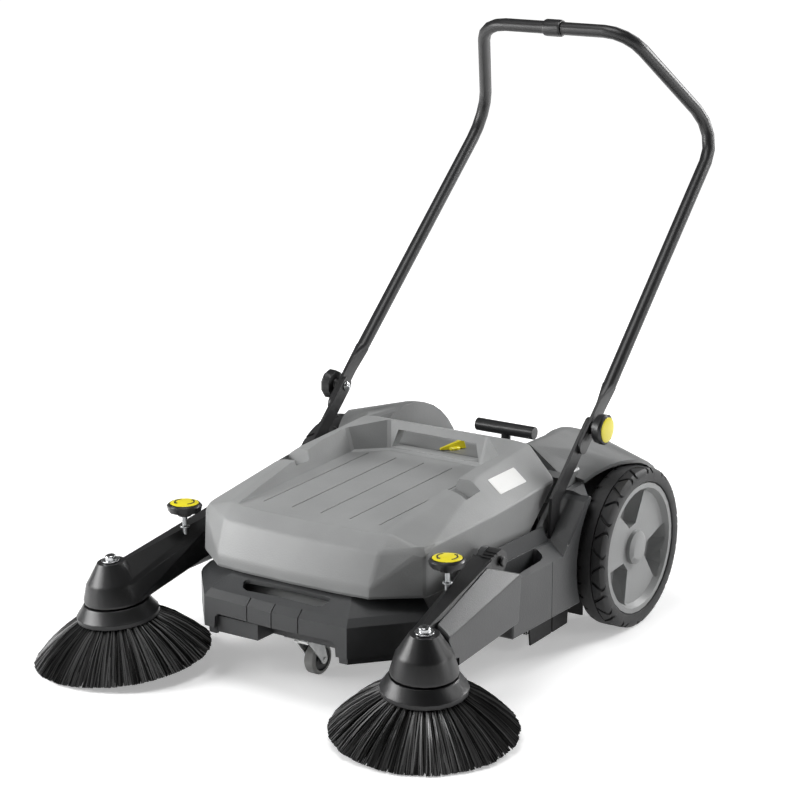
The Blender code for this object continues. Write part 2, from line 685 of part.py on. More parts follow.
def side_pod(side):
    """Side cover between the brush arm and the wheel, with the well that the arm's knuckle turns in."""
    label = "right" if side > 0 else "left"
    low = -atan((WHEEL_RADIUS - POD_BOTTOM) / sqrt(ARCH_RADIUS ** 2 - (WHEEL_RADIUS - POD_BOTTOM) ** 2))
    fin_end = FENDER_FRONT + radians(13)
    rear_arc = arc((AXLE_Y, WHEEL_RADIUS), ARCH_RADIUS, pi - low, fin_end, 8)
    fin_back = about_axle(ARCH_RADIUS + 0.007, fin_end)
    fin_front = about_axle(ARCH_RADIUS + 0.0134, fin_end + radians(5.6))
    foot_y = fin_front[0] - (fin_front[1] - POD_LEDGE_Z)
    outline = [(POD_FRONT_Y, POD_BOTTOM)] + rear_arc + [fin_back, fin_front, (foot_y, POD_LEDGE_Z)]
    outline += [(POD_FRONT_Y, POD_LEDGE_Z)]
    pod = plate(f"side_pod_{label}", [outline], side * POD_INNER_X, side * POD_OUTER_X, ALONG_X, DARK_PLASTIC)
    round_edges(pod, 0.0025, angle=30, segments=1)
    fin_x = BODY_HALF_WIDTH + FENDER_REACH_FRONT
    tail = FENDER_FRONT + radians(1.5)
    fin = [(x, *about_axle(ARCH_RADIUS - 0.008, tail)) for x in (POD_INNER_X + 0.001, fin_x)]
    fin += [(x, *about_axle(ARCH_RADIUS - 0.016, tail + radians(8))) for x in (POD_INNER_X + 0.001, fin_x)]
    fin += [(x, *about_axle(ARCH_RADIUS + 0.0125, fin_end)) for x in (POD_INNER_X + 0.001, fin_x)]
    fin += [(x, *about_axle(ARCH_RADIUS + 0.002, fin_end + radians(6))) for x in (POD_INNER_X + 0.001, POD_OUTER_X - 0.003)]
    fin += [(POD_OUTER_X - 0.003, *about_axle(ARCH_RADIUS + 0.006, fin_end + radians(2)))]
    fuse(pod, hull(f"fin_{label}", mirrored(side, fin)))
    inner, outer = POD_OUTER_X - 0.036, POD_OUTER_X + 0.010
    high, fall = POD_LEDGE_Z + 0.001, POD_LEDGE_Z - POD_CHAMFER - 0.005
    ledge = [(x, POD_FRONT_Y - 0.020, z) for x, z in ((inner, high), (outer, fall), (inner, 0.215), (outer, 0.215))]
    ledge += [(x, foot_y + z - POD_LEDGE_Z - 0.0006, z)
              for x, z in ((inner, high), (outer, fall), (inner, 0.215), (outer, 0.215))]
    slope = hull(f"ledge_{label}", mirrored(side, ledge))
    plan = [(KNUCKLE_INNER_X - 0.002, POD_FRONT_Y - 0.010), (POD_OUTER_X - 0.007, POD_FRONT_Y - 0.010)]
    plan += [(POD_OUTER_X - 0.012, -0.066), (POD_OUTER_X - 0.015, -0.053), (POD_OUTER_X - 0.020, -0.047)]
    plan += [(KNUCKLE_INNER_X + 0.004, -0.043), (KNUCKLE_INNER_X - 0.002, -0.047)]
    well = hull(f"well_{label}", [(side * x, y, z) for x, y in plan for z in (0.150, 0.320)])
    seam = box_corners(side, (POD_OUTER_X - 0.0014, POD_SEAM_Y - 0.0006, POD_BOTTOM - 0.01),
                       (POD_OUTER_X + 0.01, POD_SEAM_Y + 0.0006, POD_LEDGE_Z + 0.01))
    cut(pod, slope, well, hull(f"pod_seam_{label}", seam))
    shelf_x = KNUCKLE_INNER_X - 0.0032
    shelf = [(x, y, z) for y in (-0.165, foot_y - 0.004) for x, z in
             ((POD_INNER_X, POD_SHELF_Z), (POD_INNER_X + 0.002, POD_SHELF_Z), (shelf_x, POD_LEDGE_Z + 0.002),
              (POD_INNER_X, 0.160), (shelf_x, 0.160))]
    ear = [(POD_FRONT_Y + 0.020, 0.143), (HINGE_Y - 0.004, 0.162)]
    ear += arc((HINGE_Y, HINGE_Z), KNUCKLE_RADIUS, 1.1 * pi, 0.15 * pi, 8)
    ear += [(POD_FRONT_Y + 0.030, POD_LEDGE_Z - 0.004)]
    inner_ear = plate(f"ear_{label}", [ear], side * POD_INNER_X, side * (KNUCKLE_INNER_X - 0.0026), ALONG_X)
    fuse(pod, inner_ear, hull(f"shelf_{label}", mirrored(side, shelf)))
    pin_hole = rod(f"pin_hole_{label}", (side * (POD_INNER_X - 0.05), HINGE_Y, HINGE_Z),
                   (side * POD_OUTER_X, HINGE_Y, HINGE_Z), PIN_RADIUS + GAP, 14)
    gear_room = rod(f"gear_room_{label}", (side * (BODY_HALF_WIDTH - 0.009), ROLLER_Y, ROLLER_Z),
                    (side * (GEAR_INNER_X + GEAR_WIDTH + 0.005), ROLLER_Y, ROLLER_Z),
                    ROLLER_GEAR_RADIUS + 2 * GEAR_MODULE, 16)
    foot_slot = plate(f"bracket_slot_{label}", [strip(bracket_path(), BAR_WIDTH + 2 * GAP)],
                      side * (BRACKET_X - GAP), side * (BRACKET_OUTER_X + GAP), ALONG_X)
    cut(pod, pin_hole, gear_room, foot_slot)
    return pod


def box_corners(side, low, high):
    return [(side * x, y, z) for x in (low[0], high[0]) for y in (low[1], high[1]) for z in (low[2], high[2])]


def hinge_pin(side):
    label = "right" if side > 0 else "left"
    head = 0.009
    length = KNUCKLE_OUTER_X + 0.003 - POD_INNER_X
    profile = [(0, length + 0.004), (head - 0.002, length + 0.004), (head, length + 0.002), (head, length)]
    profile += [(PIN_RADIUS, length), (PIN_RADIUS, 0), (0, 0)]
    turn = Matrix.Rotation(side * pi / 2, 4, "Y")
    place = Matrix.Translation((side * POD_INNER_X, HINGE_Y, HINGE_Z)) @ turn
    return turned(f"hinge_pin_{label}", profile, 12, CHROME, place)


# Waste container


def waste_container():
    """Hood and bin in one moulding: open towards the roller, with a tray and a grab bar on top."""
    nose = NOSE_Y + 0.056
    cheek_y = CHEEK[1] + 0.014
    half = HOOD_HALF_WIDTH
    side_x = TRAY_HALF_WIDTH
    front = [(side_x + 0.006, 0.0, HOOD_BOTTOM), (side_x + 0.007, 0.0015, HOOD_BOTTOM + HOOD_SKIRT)]
    front += [(side_x + 0.010, 0.026, SHOULDER_FRONT_Z - 0.007), (side_x + 0.015, 0.054, CREST_FRONT_Z)]
    upper = [(x * share, nose + back - HOOD_BOW * bow, z) for x, back, z in front
             for share, bow in ((1.0, 0.0), (0.62, 0.72), (0.0, 1.0))]
    upper += [(half - 0.014, cheek_y, SHOULDER_FRONT_Z)]
    upper += [(half - 0.012, cheek_y - 0.002, HOOD_BOTTOM), (side_x + 0.032, -0.101, CREST_REAR_Z - 0.014)]
    upper += [(side_x + 0.026, HOOD_REAR_Y, CREST_REAR_Z)]
    upper += [(GRAB_HALF_WIDTH + 0.007, HOOD_REAR_Y - 0.028, CREST_REAR_Z + 0.008)]
    upper += [(half, HOOD_REAR_Y - 0.021, SHOULDER_REAR_Z), (half, -0.057, HOOD_BOTTOM)]
    upper += [(half, -0.119, SHOULDER_REAR_Z - 0.012)]
    container = hull("waste_container", both_sides(upper), GREY_PLASTIC)
    round_edges(container, 0.006, angle=12)
    fuse(container, bin_hull("bin", 0.0, BEAM_TOP + GAP, HOOD_BOTTOM + 0.010))
    tray = [(side_x - 0.002, nose + 0.030, tray_floor(nose + 0.030)), (side_x, 0.005, tray_floor(0.005))]
    tray += [(0.0, nose + 0.020, tray_floor(nose + 0.020)), (0.0, nose + 0.020, 0.360)]
    tray += [(GRAB_HALF_WIDTH + 0.005, TRAY_REAR_Y, tray_floor(TRAY_REAR_Y))]
    tray += [(side_x + 0.006, nose + 0.030, 0.360), (side_x + 0.020, 0.005, 0.360)]
    tray += [(GRAB_HALF_WIDTH + 0.014, TRAY_REAR_Y + 0.014, 0.360)]
    tray_cut = hull("tray", both_sides(tray))
    round_edges(tray_cut, 0.004, angle=30, segments=1)
    grab_low = TRAY_REAR_Z + 0.006
    grab = [(GRAB_HALF_WIDTH, 0.020, grab_low), (GRAB_HALF_WIDTH, 0.130, grab_low)]
    grab += [(GRAB_HALF_WIDTH - 0.010, 0.020, grab_low + GRAB_HEIGHT)]
    grab += [(GRAB_HALF_WIDTH - 0.010, 0.130, grab_low + GRAB_HEIGHT)]
    cut(container, tray_cut, hull("grab_window", both_sides(grab)))
    for i in range(TRAY_GROOVES):
        x = side_x * (2 * i + 1 - TRAY_GROOVES) / TRAY_GROOVES
        groove = [(x + dx, y, tray_floor(y) + dz) for dx in (-0.0011, 0.0011) for y in (nose + 0.085, 0.014)
                  for dz in (-0.0018, 0.004)]
        cut(container, hull(f"tray_groove_{i}", groove))
    for label, side in SIDES.items():
        reach = FINGER_NOTCH_LENGTH / 2
        edge_z = CREST_REAR_Z - 0.022
        notch = [(side_x + x, FINGER_NOTCH_Y + y, edge_z + z) for x, z in ((0.004, -0.012), (0.052, -0.036))
                 for y in (-reach + 0.006, reach - 0.006)]
        notch += [(side_x + x, FINGER_NOTCH_Y + y, edge_z + z) for x, z in ((0.004, 0.030), (0.052, 0.010))
                  for y in (-reach, reach)]
        cut(container, hull(f"finger_notch_{label}", mirrored(side, notch)))
    roof = TRAY_FRONT_Z - 0.018
    room = [(side_x - 0.002, nose + 0.034, HOOD_BOTTOM - 0.004), (side_x - 0.002, nose + 0.046, roof - 0.024)]
    room += [(half - 0.028, cheek_y + 0.012, HOOD_BOTTOM - 0.004), (half - 0.028, cheek_y + 0.012, roof - 0.014)]
    room += [(half - 0.007, -0.119, HOOD_BOTTOM - 0.004), (half - 0.007, -0.119, roof)]
    room += [(half - 0.007, 0.140, HOOD_BOTTOM - 0.004), (half - 0.007, 0.140, roof + 0.010)]
    cut(container, hull("hood_room", both_sides(room)))
    cut(container, bin_hull("bin_room", BIN_WALL, BEAM_TOP + GAP + BIN_WALL, HOOD_BOTTOM + 0.020))
    return container


def bin_hull(name, inset, bottom, top):
    """Lower bin of the container, or its room when set in by the wall: the room runs out at the rear."""
    rear = -0.070 if inset == 0.0 else 0.080
    half = BIN_HALF_WIDTH - inset
    plan = [(half - 0.110, NOSE_Y + 0.068 + inset), (half - 0.078, CHEEK[1] + 0.050 + inset)]
    plan += [(half, CHEEK[1] + 0.095 + inset), (half, rear)]
    return hull(name, both_sides([(x, y, z) for x, y in plan for z in (bottom, top)]))


def roller_lever():
    """Wing on a round base that sets how hard the roller sweeps; its low tip is the pointer."""
    spot = Vector((0.0, HOOD_REAR_Y + 0.024, DECK_Z + GAP))
    place = Matrix.Translation(spot) @ Matrix.Rotation(radians(-31), 4, "Z")
    profile = [(0, 0.005), (0.010, 0.005), (0.012, 0.003), (0.012, 0), (0, 0)]
    base = turned("roller_lever", profile, 16, YELLOW_PLASTIC, place)
    low = [(x, y, 0.0012) for x, y in ((-0.003, -0.027), (0.003, -0.027), (-0.008, 0.021), (0.008, 0.021))]
    top = [(-0.002, -0.027, 0.004), (0.002, -0.027, 0.004), (-0.0045, 0.018, 0.016), (0.0045, 0.018, 0.016)]
    wing = hull("lever_wing", low + top)
    wing.matrix_world = place
    fuse(base, wing)
    return base


# Wheels


def wheel_place(side):
    """Local +Z points outboard, with its zero on the machine's middle plane."""
    return Matrix.Translation((0, AXLE_Y, WHEEL_RADIUS)) @ Matrix.Rotation(side * pi / 2, 4, "Y")


def tyre(side):
    label = "right" if side > 0 else "left"
    r, out, inn = WHEEL_RADIUS, WHEEL_OUTER_X, WHEEL_INNER_X
    seat = RIM_RADIUS + GAP
    profile = [(seat, out - 0.003), (r - 0.012, out), (r - 0.004, out - 0.004), (r, out - 0.011)]
    profile += [(r, inn + 0.011), (r - 0.004, inn + 0.004), (r - 0.012, inn), (seat, inn + 0.003)]
    piece = turned(f"tyre_{label}", profile, WHEEL_STEPS, RUBBER, wheel_place(side), closed=True)
    lugs = bmesh.new()
    width = pi * r / TREAD_COUNT
    for i in range(TREAD_COUNT):
        spin = Matrix.Rotation(2 * pi * i / TREAD_COUNT, 4, "Z")
        slant = Matrix.Rotation(radians(28), 4, "X")
        place = spin @ Matrix.Translation((r, 0, out - 0.003)) @ slant
        scale = Matrix.Diagonal((2 * TREAD_DEPTH, width * 0.42, 0.036, 1))
        bmesh.ops.create_cube(lugs, size=1.0, matrix=place @ scale)
    grooves = link(f"tread_{label}", mesh_from(lugs, "tread"), None, wheel_place(side))
    cut(piece, grooves)
    return piece


def rim(side):
    """Dished rim with three blind pockets and, on the driving side, the gear ring on its inner face."""
    label = "right" if side > 0 else "left"
    place = wheel_place(side)
    out, inn = WHEEL_OUTER_X - 0.004, WHEEL_INNER_X + 0.003
    face = out - 0.012
    profile = [(0, out - 0.001), (HUB_RADIUS - 0.008, out - 0.001), (HUB_RADIUS, out - 0.005)]
    profile += [(HUB_RADIUS + 0.001, face), (RIM_RADIUS - 0.016, face + 0.002), (RIM_RADIUS - RIM_LIP, out)]
    profile += [(RIM_RADIUS, out), (RIM_RADIUS, inn), (RIM_RADIUS - 0.008, inn)]
    profile += [(RIM_RADIUS - 0.014, inn + 0.012), (0.040, inn + 0.012), (0.024, inn - 0.0125), (0, inn - 0.0125)]
    piece = turned(f"rim_{label}", profile, WHEEL_STEPS, GREY_PLASTIC, place)
    if side > 0:
        ring = outline_mesh("wheel_gear", [gear_outline(WHEEL_TEETH)], GEAR_WIDTH)
        middle = GEAR_INNER_X + GEAR_WIDTH / 2
        gear = link("wheel_gear", ring, None, place @ Matrix.Translation((0, 0, middle)))
        web = turned("gear_web", [(0, inn + 0.020), (0.098, inn + 0.020), (0.098, GEAR_INNER_X + 0.003),
                                  (0, GEAR_INNER_X + 0.003)], WHEEL_STEPS, None, place)
        fuse(piece, web, gear)
    for i in range(POCKET_COUNT):
        turn = place @ Matrix.Rotation(POCKET_TURN + 2 * pi * i / POCKET_COUNT, 4, "Z")
        corners = [(HUB_RADIUS + 0.012, 0.012), (RIM_RADIUS - 0.026, 0.050), (RIM_RADIUS - 0.016, 0.024)]
        top = [(r, s * w, face + 0.006) for r, w in corners for s in (-1, 1)]
        deep = [(r * 0.94 + 0.004, s * w * 0.72, face - 0.024) for r, w in corners for s in (-1, 1)]
        pocket = hull(f"rim_pocket_{label}_{i}", top + deep)
        pocket.matrix_world = turn
        cut(piece, pocket)
    bore = turned(f"rim_bore_{label}", [(0, out - 0.010), (AXLE_RADIUS + RUNNING, out - 0.010),
                                        (AXLE_RADIUS + RUNNING, inn - 0.040), (0, inn - 0.040)], 20, None, place)
    cut(piece, bore)
    return piece


def rear_axle():
    reach = WHEEL_OUTER_X - 0.004 - 0.011
    return rod("rear_axle", (-reach, AXLE_Y, WHEEL_RADIUS), (reach, AXLE_Y, WHEEL_RADIUS), AXLE_RADIUS, 20, STEEL)


# Sweeping roller


def roller_place():
    return Matrix.Translation((0, ROLLER_Y, ROLLER_Z)) @ Matrix.Rotation(pi / 2, 4, "Y")


def roller_core():
    """Plastic tube on a steel shaft, seen as one turned piece."""
    ends = ROLLER_HALF_LENGTH + 0.002
    right = GEAR_INNER_X + GEAR_WIDTH + 0.002
    left = BODY_HALF_WIDTH + 0.010
    profile = [(0, right), (SHAFT_RADIUS, right), (SHAFT_RADIUS, ends), (ROLLER_CORE_RADIUS, ends)]
    profile += [(ROLLER_CORE_RADIUS, -ends), (SHAFT_RADIUS, -ends), (SHAFT_RADIUS, -left), (0, -left)]
    return turned("roller_core", profile, 18, BLACK_PLASTIC, roller_place())


def roller_bristles():
    """Bristle sleeve whose rows run in a chevron from both ends to the middle."""
    count = 4 * ROLLER_ROWS
    valley = ROLLER_RADIUS - 0.020
    slices = 5
    outer = []
    for k in range(slices):
        along = -1 + 2 * k / (slices - 1)
        twist = abs(along) * radians(40)
        ring = []
        for i in range(count):
            radius = ROLLER_RADIUS - 0.0015 if i % 4 in (1, 2) else valley
            angle = 2 * pi * i / count + twist
            ring.append((radius * cos(angle), radius * sin(angle), along * ROLLER_HALF_LENGTH))
        outer.append(ring)
    sleeve = loft("roller_bristles", outer, BRISTLE, roller_place())
    reach = ROLLER_HALF_LENGTH + 0.01
    bore = [(0, reach), (ROLLER_CORE_RADIUS + GAP, reach), (ROLLER_CORE_RADIUS + GAP, -reach), (0, -reach)]
    cut(sleeve, turned("sleeve_bore", bore, 18, None, roller_place()))
    return sleeve


def roller_gear():
    """Pinion turned so that one of its gaps takes the wheel gear's tooth on the line of centres."""
    towards = DRIVE_SLOPE - pi / 2
    pitch = 2 * pi / WHEEL_TEETH
    tooth = round(towards / pitch) * pitch - towards
    turn = towards + pi - tooth * WHEEL_TEETH / ROLLER_TEETH + pi / ROLLER_TEETH
    outlines = [gear_outline(ROLLER_TEETH, turn), circle(SHAFT_RADIUS + GAP, 16)]
    mesh = outline_mesh("roller_gear", outlines, GEAR_WIDTH - 0.001)
    middle = GEAR_INNER_X + GEAR_WIDTH / 2
    return link("roller_gear", mesh, BLACK_PLASTIC, roller_place() @ Matrix.Translation((0, 0, middle)))


def roller_bearing(side):
    label = "right" if side > 0 else "left"
    profile = [(SHAFT_RADIUS + RUNNING, 0.006), (BEARING_RADIUS - GAP, 0.006), (BEARING_RADIUS - GAP, -0.005)]
    profile += [(BEARING_RADIUS + 0.0015, -0.005), (BEARING_RADIUS + 0.0015, -0.009)]
    profile += [(SHAFT_RADIUS + RUNNING, -0.009)]
    place = Matrix.Translation((side * BODY_HALF_WIDTH, ROLLER_Y, ROLLER_Z)) @ Matrix.Rotation(side * pi / 2, 4, "Y")
    seat = FRAME_WALL - 0.005 + GAP
    return turned(f"roller_bearing_{label}", profile, 12, STEEL, place @ Matrix.Translation((0, 0, -seat)), closed=True)


# Side brush arms


def brush_place(side):
    """Local Z is the brush axis, from the floor up; local X points outboard."""
    up = Vector((side * tan(LEAN_OUT), -tan(LEAN_FORWARD), 1)).normalized()
    return Matrix.Translation((side * BRUSH_X, BRUSH_Y, 0)) @ up.to_track_quat("Z", "Y").to_matrix().to_4x4()


def off_body(points):
    """Points given by their distance out from the body's side."""
    return [(BODY_HALF_WIDTH + x, y, z) for x, y, z in points]


def side_arm(side):
    label = "right" if side > 0 else "left"
    root = [(0.003, -0.222, 0.233), (0.003, -0.300, 0.200), (0.039, -0.222, 0.228), (0.040, -0.242, 0.221)]
    root += [(0.003, -0.222, 0.165), (0.040, -0.222, 0.165)]
    root += [(0.0603, -0.404, 0.186), (0.0603, -0.404, CUP_BOTTOM + 0.001)]
    cup = [(0, CUP_TOP), (0.024, CUP_TOP), (0.044, 0.153), (0.047, 0.149), (0.055, CUP_BOTTOM + 0.004)]
    cup += [(0.055, CUP_BOTTOM), (0, CUP_BOTTOM)]
    arm = hull(f"side_arm_{label}", mirrored(side, off_body(root)) + cup_flank(side, cup[1:-1]), BLACK_PLASTIC)
    path = [(-0.240, 0.205), (HINGE_Y, HINGE_Z)]
    knuckle = plate(f"knuckle_{label}", [strip(path, 2 * KNUCKLE_RADIUS, 7)], side * KNUCKLE_INNER_X,
                    side * KNUCKLE_OUTER_X, ALONG_X)
    fuse(arm, knuckle, turned(f"cup_{label}", cup, 20, None, brush_place(side)))
    bore = SPINDLE_RADIUS + GAP
    hole = [(0, 0.250), (0.0180, 0.250), (0.0180, CUP_TOP - 0.0002), (bore, CUP_TOP - 0.0002), (bore, 0.050), (0, 0.050)]
    cut(arm, turned(f"spindle_hole_{label}", hole, 16, None, brush_place(side)))
    cut(arm, rod(f"screw_hole_{label}", (side * ADJUSTER_X, ADJUSTER_Y, 0.160),
                 (side * ADJUSTER_X, ADJUSTER_Y, 0.260), SCREW_RADIUS + RUNNING, 14))
    cut(arm, rod(f"knuckle_hole_{label}", (side * BODY_HALF_WIDTH, HINGE_Y, HINGE_Z),
                 (side * (KNUCKLE_OUTER_X + 0.02), HINGE_Y, HINGE_Z), PIN_RADIUS + GAP, 14))
    return arm


def cup_flank(side, profile):
    """Points just inside the brush cup, on the arm's side of its cover."""
    points = []
    for radius, height in profile:
        level = min(max(height, CUP_BOTTOM + 0.0006), CUP_TOP - 0.0006)
        centre = brush_place(side) @ Vector((0, 0, level))
        for x, y in circle(radius - 0.0006, 24):
            spot = brush_place(side) @ Vector((x, y, level))
            clear_of_bolt = height < CUP_TOP or spot.y > centre.y + 0.5 * radius
            if clear_of_bolt and side * spot.x - BODY_HALF_WIDTH < 0.040 - 0.125 * (spot.y + 0.242):
                points.append(tuple(spot))
    return points


def arm_cover(side):
    """Sloped side cover of the arm, scooped out round the brush cup."""
    label = "right" if side > 0 else "left"
    points = [(0.0412, -0.236, 0.222), (0.0650, -0.426, 0.184), (0.071, -0.179, 0.201)]
    points += [(0.088, -0.426, 0.166), (0.069, -0.184, 0.114), (0.086, -0.425, 0.106)]
    points += [(0.0420, -0.226, 0.150), (0.0650, -0.426, 0.110)]
    points += [(0.055, -0.184, 0.190), (0.055, -0.184, 0.118)]
    cover = hull(f"arm_cover_{label}", mirrored(side, off_body(points)), DARK_PLASTIC)
    round_edges(cover, 0.0035, angle=20)
    spare = RUNNING
    scoop = [(0, 0.200), (0.026, 0.200), (0.046 + spare, 0.154), (0.049 + spare, 0.149)]
    hub_room = HUB_RING_RADIUS + 0.003
    scoop += [(0.057 + spare, CUP_BOTTOM + 0.004), (hub_room, CUP_BOTTOM + 0.001), (hub_room, 0.050), (0, 0.050)]
    cut(cover, turned(f"scoop_{label}", scoop, 20, None, brush_place(side)))
    return cover


def brush_spindle(side):
    """Bolt through the cup that the brush turns on, with its washer, head and lower nut."""
    label = "right" if side > 0 else "left"
    top = CUP_TOP + GAP
    nut_top = HUB_BOTTOM - 0.0005
    profile = [(0, top + 0.011), (0.008, top + 0.011), (0.010, top + 0.009), (0.010, top + 0.003)]
    profile += [(0.016, top + 0.003), (0.016, top), (SPINDLE_RADIUS, top), (SPINDLE_RADIUS, nut_top)]
    profile += [(0.013, nut_top), (0.013, nut_top - 0.0075), (0, nut_top - 0.0075)]
    return turned(f"brush_spindle_{label}", profile, 10, CHROME, brush_place(side))


# Side brushes


def brush_hub(side):
    label = "right" if side > 0 else "left"
    bore = SPINDLE_RADIUS + RUNNING
    r = HUB_RING_RADIUS
    low, high = HUB_BOTTOM, HUB_BOTTOM + HUB_HEIGHT
    profile = [(bore, high), (0.056, high), (0.059, high - 0.004), (r - 0.003, low + 0.011), (r, low + 0.008)]
    profile += [(r, low), (bore, low)]
    return turned(f"brush_hub_{label}", profile, 20, BLACK_PLASTIC, brush_place(side), closed=True)


def brush_bristles(side):
    """Ring of strands drawn out of the faces of their backing, row by row."""
    label = "right" if side > 0 else "left"
    top, root = HUB_BOTTOM - GAP, HUB_BOTTOM - 0.005
    inner, outer = 0.040, HUB_RING_RADIUS - 0.004
    bm = bmesh.new()
    rows = [inner + (outer - inner) * k / BRISTLE_ROWS for k in range(BRISTLE_ROWS + 1)]
    angles = [2 * pi * i / BRISTLE_SECTORS for i in range(BRISTLE_SECTORS)]
    grid = [[bm.verts.new((r * cos(a), r * sin(a), root)) for a in angles] for r in rows]
    roots = []
    for k in range(BRISTLE_ROWS):
        for i in range(BRISTLE_SECTORS):
            j = (i + 1) % BRISTLE_SECTORS
            face = bm.faces.new((grid[k][i], grid[k][j], grid[k + 1][j], grid[k + 1][i]))
            roots.append((face, k, angles[i] + pi / BRISTLE_SECTORS))
    above = [[bm.verts.new((r * cos(a), r * sin(a), top)) for a in angles] for r in (inner, outer)]
    for i in range(BRISTLE_SECTORS):
        j = (i + 1) % BRISTLE_SECTORS
        bm.faces.new((above[0][i], above[1][i], above[1][j], above[0][j]))
        bm.faces.new((grid[0][i], above[0][i], above[0][j], grid[0][j]))
        bm.faces.new((grid[-1][j], above[1][j], above[1][i], grid[-1][i]))
    for face, row, angle in roots:
        strand = bmesh.ops.extrude_discrete_faces(bm, faces=[face])["faces"][0]
        draw_out(strand, row, angle)
    return link(f"brush_bristles_{label}", mesh_from(bm, "bristles"), BRISTLE, brush_place(side))


def draw_out(face, row, angle):
    """Moves a strand's end face from its root to its tip, and narrows it."""
    reach = BRUSH_RADIUS - 0.002 - 0.020 * (BRISTLE_ROWS - 1 - row)
    drop = (reach * sin(LEAN) + 0.0012) / cos(LEAN)
    tip = Vector((reach * cos(angle), reach * sin(angle), drop))
    middle = face.calc_center_median()
    for vert in face.verts:
        vert.co = tip + (vert.co - middle) * 0.45


# Knobs


def knob_rings(radius, height, boss):
    """Lobed grip over a plain boss: rings of points from the boss up to the crown."""
    levels = ((0.0, boss, 0.0), (0.30 * height, boss + 0.001, 0.0), (0.36 * height, radius - 0.003, 0.045),
              (0.85 * height, radius, 0.045), (height, radius - 0.003, 0.045))
    rings = []
    for z, r, lobe in levels:
        ring = []
        for i in range(KNOB_STEPS):
            angle = 2 * pi * i / KNOB_STEPS
            reach = r * (1 - lobe / 2 + lobe / 2 * cos(KNOB_LOBES * angle))
            ring.append((reach * cos(angle), reach * sin(angle), z))
        rings.append(ring)
    return rings


def cap_profile(radius):
    return [(0, 0.0026), (0.75 * radius, 0.0022), (radius, 0.0008), (radius, 0), (0, 0)]


def adjuster(side):
    """Hand screw on the arm: threaded stem with its collar, lobed knob and coloured cap."""
    label = "right" if side > 0 else "left"
    foot = Matrix.Translation((side * ADJUSTER_X, ADJUSTER_Y, ADJUSTER_KNOB_Z))
    stem_length = ADJUSTER_KNOB_Z - 0.170
    stem = [(0, -GAP), (SCREW_RADIUS, -GAP), (SCREW_RADIUS, -0.018), (0.0085, -0.018), (0.0085, -0.0215)]
    stem += [(SCREW_RADIUS, -0.0215), (SCREW_RADIUS, -stem_length), (0, -stem_length)]
    screw = turned(f"adjuster_screw_{label}", stem, 10, CHROME, foot)
    knob = loft(f"adjuster_knob_{label}", knob_rings(KNOB_RADIUS, KNOB_HEIGHT, 0.012), BLACK_PLASTIC, foot)
    seat = foot @ Matrix.Translation((0, 0, KNOB_HEIGHT + GAP))
    cap = turned(f"adjuster_cap_{label}", cap_profile(KNOB_RADIUS * CAP_SHARE), 18, YELLOW_PLASTIC, seat)
    carry(ARM_PIVOTS[side], pivot(f"adjuster_axis_{label}", foot))
    carry(bpy.data.objects[f"adjuster_axis_{label}"], screw, knob, cap)


# Push handle


def bracket_path():
    """Line of the bar from its foot in the pod over its knee to just past the pivot."""
    knee = Vector((PIVOT_Y - 0.112, PIVOT_Z - 0.106))
    end = Vector((PIVOT_Y, PIVOT_Z))
    end += (end - knee).normalized() * 0.004
    return [(knee.x - 0.005, POD_LEDGE_Z - 0.006), tuple(knee), tuple(end)]


def handle_bracket(side):
    label = "right" if side > 0 else "left"
    bar = plate(f"handle_bracket_{label}", [strip(bracket_path(), BAR_WIDTH, 8)], side * BRACKET_X,
                side * BRACKET_OUTER_X, ALONG_X, BLACK_STEEL)
    cut(bar, rod(f"bracket_hole_{label}", (side * BODY_HALF_WIDTH, PIVOT_Y, PIVOT_Z),
                 (side * (BODY_HALF_WIDTH + 0.05), PIVOT_Y, PIVOT_Z), PIN_RADIUS + GAP, 14))
    return bar


def handle_tube():
    """Bent steel tube whose two ends are flattened into tabs for the pivot bolts."""
    bend = Vector((BODY_HALF_WIDTH, PIVOT_Y, PIVOT_Z)) + Vector(HANDLE_BEND_REACH)
    top = Vector((BODY_HALF_WIDTH, PIVOT_Y, PIVOT_Z)) + Vector(HANDLE_TOP_REACH)
    foot = Vector(((TAB_X + TAB_OUTER_X) / 2, PIVOT_Y, PIVOT_Z))
    along = (bend - foot).normalized()
    start = foot + along * 0.085
    half = [start, bend, top]
    corners = [Vector((-p.x, p.y, p.z)) for p in half] + half[::-1]
    route = rounded_route(corners, BEND_RADIUS, 5)
    handle = tube("handle_tube", route, HANDLE_RADIUS, 12, BLACK_STEEL)
    flat = Vector((0, along.y, along.z)).normalized()
    across = Vector((0, -flat.z, flat.y))
    for side in SIDES.values():
        label = "right" if side > 0 else "left"
        collar = start + along * 0.003
        ring = [collar + Vector((1, 0, 0)) * u + across * v for u, v in circle(HANDLE_RADIUS * 1.08, 14)]
        wide = across * (BAR_WIDTH / 2)
        neck = [foot + flat * 0.045 + Vector((x - foot.x, 0, 0)) + w for x in (TAB_X, TAB_OUTER_X) for w in (wide, -wide)]
        flare = hull(f"handle_flare_{label}", mirrored(side, [tuple(p) for p in ring + neck]))
        low = foot - flat * 0.040
        high = foot + flat * 0.060
        path = [(high.y, high.z), (low.y, low.z)]
        tab = plate(f"handle_tab_{label}", [strip(path, BAR_WIDTH, 8)], side * TAB_X, side * TAB_OUTER_X, ALONG_X)
        fuse(handle, flare, tab)
        cut(handle, rod(f"tab_hole_{label}", (side * BODY_HALF_WIDTH, PIVOT_Y, PIVOT_Z),
                        (side * (BODY_HALF_WIDTH + 0.07), PIVOT_Y, PIVOT_Z), PIN_RADIUS + GAP, 14))
    return handle


